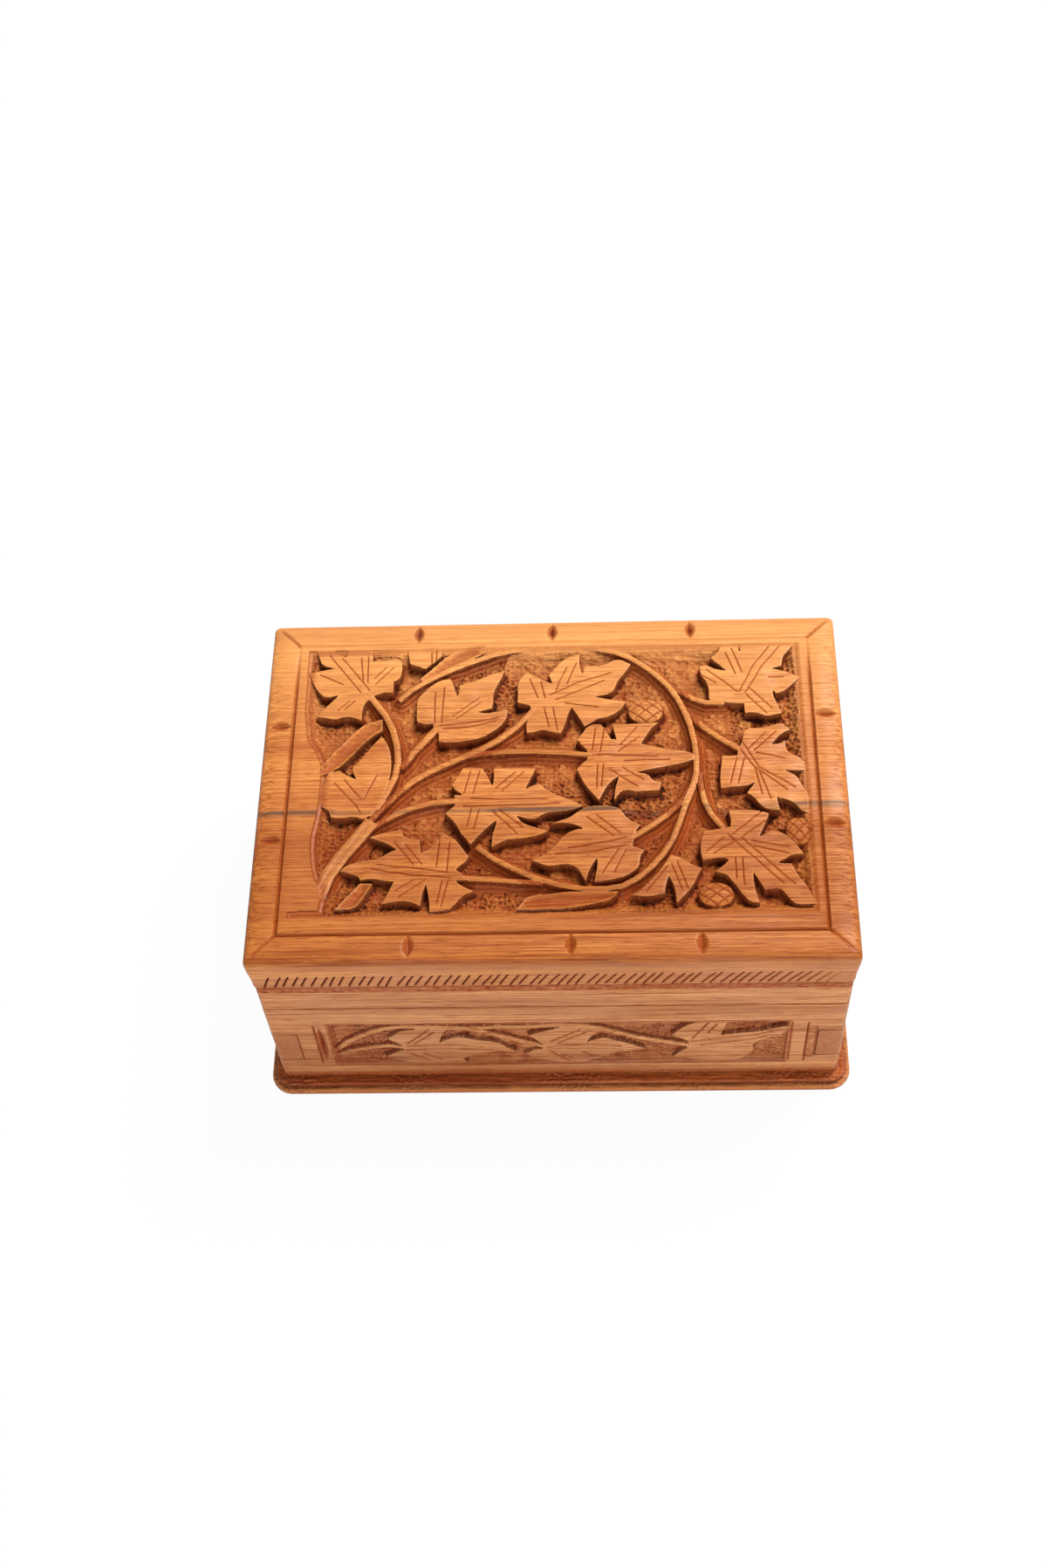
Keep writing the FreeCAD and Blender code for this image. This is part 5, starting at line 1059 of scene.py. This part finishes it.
def band_rows(low, high, fine_low, fine_high):
    """Heights of a band's rows: close together over the carving and at the worn edges."""
    edges = [low, low + 0.12, low + 0.35, high - 0.35, high - 0.12, high]
    spaced = np.arange(low + 0.8, high - 0.5, 0.8)
    spaced = spaced[(spaced < fine_low) | (spaced > fine_high)]
    fine = np.arange(max(low + 0.5, fine_low), min(high - 0.5, fine_high), SIDE_CELL)
    return np.unique(np.concatenate([edges, spaced, fine]).round(4))


def plain_surface(side, low, high, wear):
    """An uncarved face with slightly uneven planing and worn edges."""
    def surface(drawn, free):
        z = built_height(drawn[:, 1])
        edge = np.minimum(z - low, high - z)
        depth = wear * np.clip(1 - edge / WEAR_WIDTH, 0, 1) ** 2
        depth = depth + 0.05 + 0.05 * wander(drawn[:, 0], drawn[:, 1], 14, 30 + TURN[side])
        return drawn, depth, {"stain": 0.35 * np.clip(1 - edge / 0.3, 0, 1)}
    return surface


def frieze_surface(side, low, high, half_run, wear):
    """A carved face with worn edges, turned under where it meets the base board, and darkened towards
    there with painted shade.
    """
    drawing = frieze_drawing(side)
    side_half = side_halves(side)[0]

    def surface(drawn, free):
        drawn, height, stain, punched, rubbed = carved(drawn, drawing, SIDE_CELL, free)
        if side in LONG_SIDES:
            framing = np.clip(1 - cut_gap(drawn, FRIEZE_FRAME) / FRAME_CUT_WIDTH, 0, 1)
            x, y, half_x, half_y = FRIEZE_LENS
            lens = lens_cut(drawn[:, 1] - y, drawn[:, 0] - x, half_y, half_x)
            x, y, half_x, half_y = FRIEZE_RECESS
            recess = np.maximum(np.abs(drawn[:, 0] - x) / half_x, np.abs(drawn[:, 1] - y) / half_y) < 1
            # painted shade in the rough recess, the framing cuts and the lens-shaped cut
            stain = np.maximum(stain, (0.4 + 0.3 * wander(drawn[:, 0], drawn[:, 1], 1.5, 16)) * recess)
            height = height - 0.45 * framing - 1.0 * lens - 0.4 * recess
            stain = np.maximum.reduce([stain, 1.1 * framing, 1.1 * lens ** 0.6])
        z = built_height(drawn[:, 1])
        end = half_run - np.abs(drawn[:, 0] - side_half)
        edge = np.minimum(np.minimum(z - low, high - z), end)
        depth = -height + wear * np.clip(1 - edge / WEAR_WIDTH, 0, 1) ** 2
        foot = np.clip(1 - (z - BASE_TOP) / FOOT_RADIUS, 0, 1)
        depth = depth + FOOT_RADIUS * (1 - np.sqrt(1 - foot ** 2 * 0.98))
        depth = depth + 0.05 + 0.05 * wander(drawn[:, 0], drawn[:, 1], 14, 40 + TURN[side])
        # painted shade, darker towards the foot of the wall where it meets the base board
        painted_foot_shade = ease(1 - (z - BASE_TOP) / 6.5)
        seam = np.maximum(0.6 * np.clip(1 - edge / 0.3, 0, 1), 0.9 * np.clip(1 - end / 0.7, 0, 1))
        stain = np.maximum.reduce([stain, 0.85 * painted_foot_shade, seam])
        return drawn, depth, {"stain": stain, "punched": punched, "rubbed": rubbed, "carved": height}
    return surface


def board_run(side):
    """Half the length of a wall or rail, and how far its ends show: long boards lap short ones."""
    return (HALF_LENGTH, CORNER_LAP) if side in LONG_SIDES else (HALF_DEPTH - CORNER_LAP, 0.0)


def inner_skin(side, half_run):
    """The part of a wall that is left behind its frieze strip."""
    reach = side_halves(side)[1]
    corners = []
    for x in (-half_run, half_run):
        for depth in (STRIP_DEPTH, WALL_THICKNESS):
            corners += [(x, depth - reach, STRIP_BOTTOM), (x, depth - reach, STRIP_TOP)]
    points = np.array(corners)
    points[:, :2] = turned(points[:, :2], side)
    quads = np.array([[0, 1, 3, 2], [4, 6, 7, 5], [0, 4, 5, 1], [2, 3, 7, 6], [1, 5, 7, 3], [0, 2, 6, 4]])
    return shell(points, quads, [], SIDE_CELL)


def wall_shells(side):
    """A wall: its bands below and above the frieze strip, and the skin behind the strip."""
    long_side = side in LONG_SIDES
    half_run, wrap = board_run(side)
    shells = []
    for low, high in ((BASE_TOP, STRIP_BOTTOM), (STRIP_TOP, SEAM)):
        hinge_edge = 1 if side == "back" and high == SEAM else 0
        rows = band_rows(low, high, *FRIEZE_SPAN)
        if hinge_edge:
            rows = np.unique(np.concatenate([rows, np.arange(HINGE_BAND[0], SEAM, HINGE_ROW)]).round(4))
        surface = frieze_surface(side, low, high, NO_END, 0.16)
        shells.append(board_shell(side, rows, half_run, wrap, WALL_THICKNESS, wrap, surface, hinge_edge))
    shells.append(inner_skin(side, HALF_LENGTH - WALL_THICKNESS if long_side else half_run))
    return shells


def strip_shells(side):
    """A frieze strip. Those at the ends of the box show their own ends at the front and back."""
    long_side = side in LONG_SIDES
    half_run = HALF_LENGTH - STRIP_DEPTH if long_side else HALF_DEPTH
    slack = SLIDE_SLACK if side == "right" else STRIP_SLACK
    wrap = 0.0 if long_side else STRIP_DEPTH - slack
    low, high = STRIP_BOTTOM + slack, STRIP_TOP - slack
    surface = frieze_surface(side, low, high, half_run if long_side else NO_END, 0.2)
    rows = band_rows(low, high, *FRIEZE_SPAN)
    return [board_shell(side, rows, half_run, wrap, STRIP_DEPTH - slack, 0, surface)]


def rail_shells(side):
    """A rail of the lid's frame."""
    half_run, wrap = board_run(side)
    rows = band_rows(RAIL_BOTTOM, RAIL_TOP, NO_END, NO_END)
    hinge_edge = -1 if side == "back" else 0
    if hinge_edge:
        close_rows = np.arange(RAIL_BOTTOM, HINGE_BAND[1], HINGE_ROW)
        rows = np.unique(np.concatenate([rows, close_rows]).round(4))
    surface = plain_surface(side, RAIL_BOTTOM, RAIL_TOP, 0.22)
    return [board_shell(side, rows, half_run, wrap, WALL_THICKNESS, wrap, surface, hinge_edge)]


# Materials

def linear(code):
    """A linear colour from an sRGB hex code."""
    values = [int(code[i:i + 2], 16) / 255 for i in (1, 3, 5)]
    return tuple(v / 12.92 if v <= 0.04045 else ((v + 0.055) / 1.055) ** 2.4 for v in values) + (1.0,)


def add(tree, kind, output, sockets=(), **settings):
    """Adds a node with its settings, gives its sockets values or links, and returns one of its outputs.

    Sockets come in the node's own order, or by name or number in a dictionary.
    """
    new = tree.nodes.new("ShaderNode" + kind)
    for name, value in settings.items():
        setattr(new, name, value)
    chosen = sockets if isinstance(sockets, dict) else dict(enumerate(sockets))
    for socket, value in chosen.items():
        if isinstance(value, bpy.types.NodeSocket):
            tree.links.new(value, new.inputs[socket])
        else:
            new.inputs[socket].default_value = value
    return new.outputs[output]


def new_material(name):
    """A new material with its node tree and its shader."""
    material = bpy.data.materials.new(name)
    material.use_nodes = True
    tree = material.node_tree
    return material, tree, tree.nodes["Principled BSDF"]


def drawn_out(tree, place, grain, along, across, seed, **sockets):
    """Noise drawn out along the grain: its humps along and across are in millimetres."""
    rate = [1000 / across] * 3
    rate["XY".index(grain)] = 1000 / along
    shift = (seed, seed / 2, seed / 3)
    stretched = add(tree, "Mapping", 0, {"Vector": place, "Scale": rate, "Location": shift})
    settings = {"Vector": stretched, "Scale": 1.0, "Detail": 3.0, "Roughness": 0.55}
    settings.update(sockets)
    return add(tree, "TexNoise", "Fac", settings)


def uneven(tree, value, pattern, reach):
    """A value times a pattern, whose reach is its low and high value and the factors at those."""
    factor = add(tree, "MapRange", 0, (pattern, *reach))
    return add(tree, "Math", 0, (value, factor), operation="MULTIPLY")


def layered(tree, colour, layers):
    """Lays tones over a colour: each layer is a pattern, its reach, a tone and the way it mixes.

    The reach is the pattern's low and high value and the tone's share at those.
    """
    for pattern, reach, tone, way in layers:
        share = add(tree, "MapRange", 0, (pattern, *reach))
        mixed = {0: share, 6: colour, 7: linear(tone)}  # sockets 6 and 7 take the two colours
        colour = add(tree, "Mix", 2, mixed, data_type="RGBA", blend_type=way)
    return colour


def oiled_walnut(name, grain, plane, tones, seed, finish=None, torn_all_over=0.0):
    """Walnut that was planed or carved by hand, then oiled.

    It gives the eye a warm satin face under a thin film of oil, long honey and brown bands, fine
    fibres and short dark pores along the grain, and painted shade that makes the tool cuts nearly
    black-brown.
    """
    pale, deep, cut = tones
    material, tree, shader = new_material(name)
    place = add(tree, "TexCoord", "Object")
    bands = drawn_out(tree, place, grain, 160, 9, seed, Detail=4.0, Distortion=0.5)
    # drawn coarser than real fibres and pores so that they show
    fibres = drawn_out(tree, place, grain, 34, 0.6, seed + 3, Detail=4.0, Roughness=0.7)
    pores = drawn_out(tree, place, grain, 6.0, 0.3, seed + 7, Detail=2.0)
    patches = add(tree, "TexNoise", "Fac", {"Vector": place, "Scale": 1000 / PATCH_SIZE, "Detail": 3.0})
    end_grain = add(tree, "SeparateXYZ", grain, [add(tree, "TexCoord", "Normal")])
    end_grain = add(tree, "Math", 0, [end_grain], operation="ABSOLUTE")
    colour = layered(tree, linear(pale), (
        (bands, (0.32, 0.68, 0.0, 1.0), deep, "MIX"),
        (fibres, (0.4, 0.66, 0.0, 0.9), "#AE825C", "MULTIPLY"),
        (patches, (0.4, 0.75, 0.0, 0.3), deep, "MIX"),
        (pores, (0.56, 0.68, 0.0, 0.75), cut, "MIX"),
        (end_grain, (0.6, 0.95, 0.0, 0.4), "#8A431C", "MIX"),
    ))
    if finish:
        colour = finish(tree, place, colour, bands)
    torn, torn_height = torn_ground(tree, place, grain, plane, patches, seed + 11, torn_all_over)
    # painted shade in the cuts, and dark joints, with the painted shade of the punch dents added
    stain = add(tree, "Attribute", "Fac", attribute_name="stain")
    stain = add(tree, "Math", 0, (stain, torn), operation="ADD")
    colour = wear_and_painted_shade(tree, place, colour, cut, stain, patches)
    tree.links.new(colour, shader.inputs["Base Color"])

    rough = add(tree, "MapRange", 0, (fibres, 0.3, 0.75, 0.4, 0.6))
    rough = add(tree, "Math", 0, (stain, 0.22, rough), operation="MULTIPLY_ADD", use_clamp=True)
    tree.links.new(rough, shader.inputs["Roughness"])
    shader.inputs["Specular IOR Level"].default_value = 0.15

    pore_depth = add(tree, "MapRange", 0, (pores, 0.56, 0.68, 0.0, 0.75))
    grain_height = add(tree, "Math", 0, (pore_depth, -0.8, fibres), operation="MULTIPLY_ADD")
    bump = add(tree, "Bump", 0, {"Height": torn_height, "Strength": 1.0, "Distance": CHISEL_RELIEF})
    oil_film = add(tree, "MapRange", 0, (patches, 0.42, 0.62, 0.0, 0.13))
    tree.links.new(oil_film, shader.inputs["Coat Weight"])
    shader.inputs["Coat Roughness"].default_value = 0.24
    tree.links.new(bump, shader.inputs["Coat Normal"])
    fine = {"Height": grain_height, "Strength": 0.45, "Distance": GRAIN_RELIEF, "Normal": bump}
    tree.links.new(add(tree, "Bump", 0, fine), shader.inputs["Normal"])
    return material


def torn_ground(tree, place, grain, plane, patches, seed, all_over):
    """Chisel marks on the carved ground, and punch marks in places with painted shade in their dents: how
    dark, and how high.
    """
    punched = add(tree, "Attribute", "Fac", attribute_name="punched")
    punched = add(tree, "Math", 0, (punched, all_over), operation="MAXIMUM")
    flat = add(tree, "CombineXYZ", 0, [add(tree, "SeparateXYZ", axis, [place]) for axis in plane])
    sockets = {"Vector": flat, "Scale": 1000 / PUNCH_PITCH, "Randomness": 0.8}
    dents = add(tree, "TexVoronoi", "Distance", sockets, voronoi_dimensions="2D")
    dented = uneven(tree, punched, patches, (0.46, 0.56, 0.1, 1.0))
    # painted shade in the punch dents
    pits = uneven(tree, dented, dents, (0.2, 0.45, 0.5, 0.0))
    chisel = drawn_out(tree, place, grain, 3.6, 1.3, seed)
    dark = add(tree, "MapRange", 0, (chisel, 0.36, 0.64, 0.22, -0.12))
    dark = add(tree, "Math", 0, (punched, dark, pits), operation="MULTIPLY_ADD")
    height = add(tree, "Math", 0, (dents, dented), operation="MULTIPLY")
    height = add(tree, "Math", 0, (chisel, punched, height), operation="MULTIPLY_ADD")
    return dark, height


def wear_and_painted_shade(tree, place, colour, cut, stain, patches):
    """Paler rims and crests, partly wear and partly painted highlight, and painted shade in the cuts and
    on their steep sides, with dark joints.
    """
    speckle = add(tree, "TexNoise", "Fac", {"Vector": place, "Scale": 1000 / SPECKLE_SIZE, "Detail": 2.0})
    rubbed = add(tree, "Attribute", "Fac", attribute_name="rubbed")
    steep = add(tree, "Attribute", "Fac", attribute_name="steep")
    return layered(tree, colour, (
        # paler rims and crests: partly wear, partly painted highlight
        (uneven(tree, rubbed, patches, (0.35, 0.65, 0.2, 1.0)), AS_IT_IS, "#EAAA62", "MIX"),
        # painted shade in the cuts, and dark joints
        (uneven(tree, stain, speckle, (0.3, 0.7, 0.8, 1.15)), AS_IT_IS, cut, "MIX"),
        # painted shade on the steep walls
        (uneven(tree, steep, speckle, (0.3, 0.7, 0.5, 0.85)), AS_IT_IS, "#66270A", "MIX"),
        # the deepest painted shade, in narrow cuts
        (stain, (0.85, 1.35, 0.0, 0.9), "#281208", "MIX"),
    ))


def plank_tones(tree, place, colour, bands):
    """The top plank: painted light that leaves it paler at the back and darker at the front on its upward
    faces, a dark streak in the wood between, and painted shade on its upright faces.
    """
    across = add(tree, "SeparateXYZ", "Y", [place])
    wavy = add(tree, "Math", 0, (bands, 0.006, across), operation="MULTIPLY_ADD")
    off = add(tree, "Math", 0, (wavy, STREAK_PLACE), operation="SUBTRACT")
    upward = add(tree, "SeparateXYZ", "Z", [add(tree, "TexCoord", "Normal")])
    painted_front_shade = add(tree, "MapRange", 0, (off, -0.006, 0.0015, 1.0, 0.0))
    beside = add(tree, "Math", 0, [off], operation="ABSOLUTE")
    streak = add(tree, "MapRange", 0, (beside, 0.0003, 0.0016, 0.85, 0.0))
    broken = drawn_out(tree, place, "X", 40, 4, 33.0, Detail=2.0)
    return layered(tree, colour, (
        # painted shade on the upward faces in front of the streak
        (uneven(tree, painted_front_shade, upward, (0.0, 0.4, 0.45, 1.0)), AS_IT_IS, "#E4D8C6", "MULTIPLY"),
        # painted light, paler towards the back
        (off, (0.02, 0.056, 0.0, 0.4), "#F0AC66", "MIX"),
        (uneven(tree, streak, broken, (0.36, 0.5, 0.0, 1.0)), AS_IT_IS, "#4A3528", "MIX"),
        # painted shade on the upright faces
        (upward, (0.0, 0.4, 0.2, 0.0), PLANK_SIDE_SHADE, "MIX"),
    ))


def scraped_moulding_with_painted_light(tree, place, colour, bands):
    """The base board's edge: a line of painted shade in its step, a painted highlight along its nose, and
    rough scraper marks.
    """
    height = add(tree, "SeparateXYZ", "Z", [place])
    rough = drawn_out(tree, place, "X", 7.0, 0.7, 41.0, Detail=4.0, Roughness=0.65)
    wavy = add(tree, "Math", 0, (rough, 0.0012, height), operation="MULTIPLY_ADD")
    layers = [(rough, (0.45, 0.62, 0.0, 0.6), "#742C0A", "MIX")]
    # a line of painted shade in the step and a painted highlight along the nose
    for level, reach, tone in (
        (STEP_HEIGHT, (0.0002, 0.0009, 0.8, 0.0), "#4A1E0C"),
        (NOSE_HEIGHT, (0.0002, 0.0008, 0.6, 0.0), "#DA8C4C"),
    ):
        off = add(tree, "Math", 0, (wavy, level), operation="SUBTRACT")
        off = add(tree, "Math", 0, [off], operation="ABSOLUTE")
        layers.append((off, reach, tone, "MIX"))
    return layered(tree, colour, layers)


def worn_metal(name, base, tarnish, roughness, brush):
    """Pressed, turned or drawn metal that was handled for years.

    It gives the eye soft broken glints, with dull tarnish in patches and fine scratches along its length.
    """
    material, tree, shader = new_material(name)
    place = add(tree, "TexCoord", "Object")
    sockets = {"Vector": place, "Scale": 1000 / TARNISH_SIZE, "Detail": 5.0, "Roughness": 0.65}
    patches = add(tree, "TexNoise", "Fac", sockets)
    colour = layered(tree, linear(base), [(patches, (0.42, 0.66, 0.0, 0.85), tarnish, "MIX")])
    tree.links.new(colour, shader.inputs["Base Color"])
    shader.inputs["Metallic"].default_value = 1.0
    rough = add(tree, "MapRange", 0, (patches, 0.35, 0.7, roughness, roughness + 0.25))
    tree.links.new(rough, shader.inputs["Roughness"])
    # drawn coarser than real scratches so that they show
    scratches = drawn_out(tree, place, "X", 4.0, 0.08, 2.0, Detail=2.0)
    bump = add(tree, "Bump", 0, {"Height": scratches, "Strength": brush, "Distance": SCRATCH_RELIEF})
    tree.links.new(bump, shader.inputs["Normal"])
    return material


# Pieces on the frame

lid_walnut = oiled_walnut("oiled walnut, carved top plank", "X", "XY", LID_TONES, 1.0, plank_tones)
body_walnut = oiled_walnut("oiled walnut, long boards", "X", "XZ", BODY_TONES, 9.0)
body_cross = oiled_walnut("oiled walnut, end boards", "Y", "YZ", BODY_TONES, 14.0)
base_walnut = oiled_walnut("oiled walnut, moulded base board", "X", "XY", BASE_TONES, 19.0,
                           scraped_moulding_with_painted_light, torn_all_over=0.5)
brass = worn_metal("pressed sheet brass, tarnished", "#C9A35A", "#7D5F33", 0.32, 0.3)
screw_brass = worn_metal("turned brass screws", "#CDA960", "#86683A", 0.28, 0.2)
steel = worn_metal("drawn steel wire, dull", "#A8A6A1", "#6E6A64", 0.35, 0.25)

for number, tile in enumerate(carved_panels()):
    piece(f"carved_lid_panel_{number + 1}", [tile], lid_walnut, "lid", "lid_top_board")
for side, length in border_lengths().items():
    piece(f"lid_{side}_border", [length], lid_walnut, "lid", "lid_top_board")
for side in TURN:
    body_wood = body_walnut if side in LONG_SIDES else body_cross
    piece(f"dressed_lid_{side}_rail", rail_shells(side), body_wood, "lid", f"lid_{side}_rail")
    piece(f"carved_{side}_wall", wall_shells(side), body_wood, "box", f"{side}_wall")
    body = "sliding_strip" if side == "right" else "box"
    piece(f"carved_{side}_strip", strip_shells(side), body_wood, body, f"{side}_frieze_strip")

for name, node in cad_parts.items():
    if "hinge" in name and "leaf" in name:
        finish = brass
    elif name == "base_board":
        finish = base_walnut
    elif name in ("box_leaf_screws", "lid_leaf_screws"):
        finish = screw_brass
    elif name in ("base_screws", "left_hinge_pin", "right_hinge_pin"):
        finish = steel
    else:
        continue
    node.data.materials.clear()
    node.data.materials.append(finish)


# Floor, light and camera

def rays_that_show(tree):
    """1 for the rays that show the white background: the camera's, in gloss and through glass."""
    seen = add(tree, "LightPath", "Is Camera Ray")
    for ray in ("Is Glossy Ray", "Is Transmission Ray"):
        seen = add(tree, "Math", 0, (seen, add(tree, "LightPath", ray)), operation="MAXIMUM")
    return seen


def white_floor():
    """A wide sheet of paper under the box."""
    mesh = bpy.data.meshes.new("white floor")
    corners = [(x * FLOOR_HALF, y * FLOOR_HALF, 0) for x, y in ((-1, -1), (1, -1), (1, 1), (-1, 1))]
    mesh.from_pydata(corners, [], [(0, 1, 2, 3)])
    floor = bpy.data.objects.new("white floor", mesh)
    bpy.context.scene.collection.objects.link(floor)
    mesh.materials.append(paper_sweep())


def paper_sweep():
    """Matt white paper. It gives the eye a bright even ground with a faint shadow under the box."""
    material, tree, shader = new_material("white paper sweep")
    shader.inputs["Base Color"].default_value = linear("#F4F2EF")
    shader.inputs["Roughness"].default_value = 0.9
    seen = rays_that_show(tree)
    glow = add(tree, "Emission", 0, (linear("#FFFFFF"), 1.0))
    share = add(tree, "MapRange", 0, (seen, 0.0, 1.0, 0.0, FLOOR_GLOW))
    mixed = add(tree, "MixShader", 0, (share, shader.outputs[0], glow))
    tree.links.new(mixed, tree.nodes["Material Output"].inputs["Surface"])
    return material


def soft_lamp(name, place, size, power, colour="#FFFFFF"):
    """A round lamp behind a diffuser, aimed at the box."""
    lamp = bpy.data.lights.new(name, "AREA")
    lamp.shape = "DISK"
    lamp.size = size
    lamp.energy = power
    lamp.color = linear(colour)[:3]
    shown = bpy.data.objects.new(name, lamp)
    shown.location = place
    shown.rotation_euler = (Vector(LAMP_AIM) - Vector(place)).to_track_quat("-Z", "Y").to_euler()
    bpy.context.scene.collection.objects.link(shown)


def surroundings():
    """A white tent: plain white to the camera, and soft dim light on the box."""
    world = bpy.data.worlds.new("white tent")
    world.use_nodes = True
    tree = world.node_tree
    seen = rays_that_show(tree)
    strength = add(tree, "MapRange", 0, (seen, 0.0, 1.0, TENT_LIGHT, 1.0))
    tree.links.new(strength, tree.nodes["Background"].inputs["Strength"])
    tree.nodes["Background"].inputs["Color"].default_value = linear("#FFFFFF")
    bpy.context.scene.world = world


def photo_camera():
    """The photo's view, from a fit to the box's edges."""
    camera = bpy.data.cameras.new("photo view")
    camera.sensor_fit = "VERTICAL"
    camera.sensor_height = SENSOR_HEIGHT
    camera.lens = CAMERA_LENS
    camera.clip_start = 0.01
    shown = bpy.data.objects.new("photo view", camera)
    turn = Matrix.Identity(3)
    for degrees, axis in zip(CAMERA_TURNS, "XYZ"):
        turn = turn @ Matrix.Rotation(math.radians(degrees), 3, axis)
    shown.matrix_world = Matrix.Translation(CAMERA_PLACE) @ turn.to_4x4()
    bpy.context.scene.collection.objects.link(shown)
    bpy.context.scene.camera = shown


white_floor()
soft_lamp("window behind, upper right", (0.74, 0.84, 1.72), 1.0, 53.0, "#FFFDF8")
soft_lamp("soft front fill", (0.2, -1.2, 0.6), 1.0, 9.8)
surroundings()
photo_camera()
bpy.context.scene.view_settings.view_transform = "Standard"
